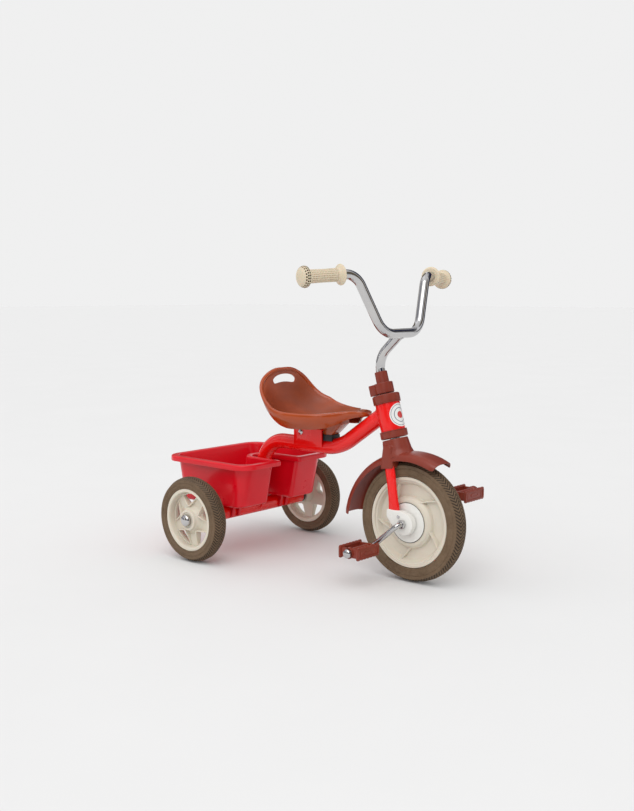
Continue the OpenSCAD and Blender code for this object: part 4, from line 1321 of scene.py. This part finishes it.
def floor():
    """Matt and very wide, just below the wheels."""
    m = Nodes("pale_floor")
    m.link(m.mix(m.spread(m.noise(3), 0, 1), grey(0.735), grey(0.745)), m.shader.inputs["Base Color"])
    m.set(Roughness=1.0, Specular_IOR_Level=0.0)
    size, drop = 40, 0.0005
    bm = bmesh.new()
    corners = ((-size, -size), (size, -size), (size, size), (-size, size))
    bm.faces.new([bm.verts.new((x, y, -drop)) for x, y in corners])
    return build("studio_floor", bm, m.material)


floor()


def world():
    """An even pale dome, with a few darker bands that only give the chrome something to reflect."""
    studio = bpy.data.worlds.new("studio")
    studio.use_nodes = True
    t = Tree(studio.node_tree)
    t.tree.nodes.clear()

    def maths(operation, *values):
        return t.add("ShaderNodeMath", dict(enumerate(values)), operation=operation).outputs[0]

    def background(colour, strength):
        return t.add("ShaderNodeBackground", {"Color": colour, "Strength": strength}).outputs[0]

    def choice(factor, first, second):
        return t.add("ShaderNodeMixShader", {"Fac": factor, 1: first, 2: second}).outputs[0]

    look = t.add("ShaderNodeSeparateXYZ", {0: t.add("ShaderNodeTexCoord").outputs["Generated"]}).outputs
    wave = maths("SINE", maths("MULTIPLY", maths("ARCTAN2", look["Y"], look["X"]), 3.0))
    greys = ((0.40, 0.10), (0.55, 0.12), (0.66, 1.1), (0.78, 1.1), (0.86, 0.22))
    bands = t.ramp(t.spread(wave, 0, 1, -1, 1), [
        (0.02, (0.015, 0.02, 0.07)), *((place, (g, g, g * 1.02)) for place, g in greys),
        (1.0, (0.16, 0.12, 0.07))])
    overhead = t.ramp(look["Z"], [(0.62, grey(0)), (0.92, grey(1))])
    glossy = background(t.mix(overhead, bands, grey(1)), 0.9)
    rays = t.add("ShaderNodeLightPath").outputs
    lit = choice(rays["Is Glossy Ray"], background((0.93, 0.93, 0.93, 1), 0.875), glossy)
    shown = choice(rays["Is Camera Ray"], lit, background((0.87, 0.87, 0.87, 1), 1.0))
    t.add("ShaderNodeOutputWorld", {"Surface": shown})
    bpy.context.scene.world = studio


world()


def aimed(name, data, place, direction):
    """Puts a lamp or a camera at a place, looking along a direction."""
    holder = bpy.data.objects.new(name, data)
    holder.location = place
    holder.rotation_euler = direction.to_track_quat("-Z", "Y").to_euler()
    bpy.context.scene.collection.objects.link(holder)
    return holder


def softbox(name, place, size, watts):
    """A rectangle of light that faces the tricycle."""
    light = bpy.data.lights.new(name, "AREA")
    light.shape = "RECTANGLE"
    light.size, light.size_y = size
    light.energy = watts
    aimed(name, light, place, Vector((0, 0, 0.3)) - Vector(place))


softbox("strip_right", (1.6, -1.9, 1.1), (0.08, 1.7), 1.4)
softbox("strip_left", (-2.2, -1.5, 1.3), (0.08, 1.6), 1.4)
softbox("strip_top", (0.4, -0.6, 2.6), (1.5, 0.08), 1.2)


def daylight(name, toward, strength, spread):
    """Even light from far away, so that the floor is lit alike all over."""
    light = bpy.data.lights.new(name, "SUN")
    light.energy, light.angle = strength, math.radians(spread)
    aimed(name, light, (0, 0, 0), -Vector(toward))


daylight("key", (0.9, -1.5, 2.2), 1.05, 50)
daylight("fill", (-1.6, -0.9, 1.6), 0.38, 80)


def camera():
    """At the photograph's angle and distance."""
    azimuth, elevation, distance = math.radians(41.1), math.radians(8.9), 2.238
    data = bpy.data.cameras.new("camera")
    data.lens, data.sensor_width = 44.55, 36
    data.shift_x, data.shift_y = -0.0063, 0.0559
    data.clip_end = 100
    level = math.cos(elevation)
    back = Vector((math.sin(azimuth) * level, -math.cos(azimuth) * level, math.sin(elevation)))
    bpy.context.scene.camera = aimed("camera", data, at(215, 0, 250) + back * distance, -back)


camera()
bpy.context.scene.view_settings.view_transform = "Standard"
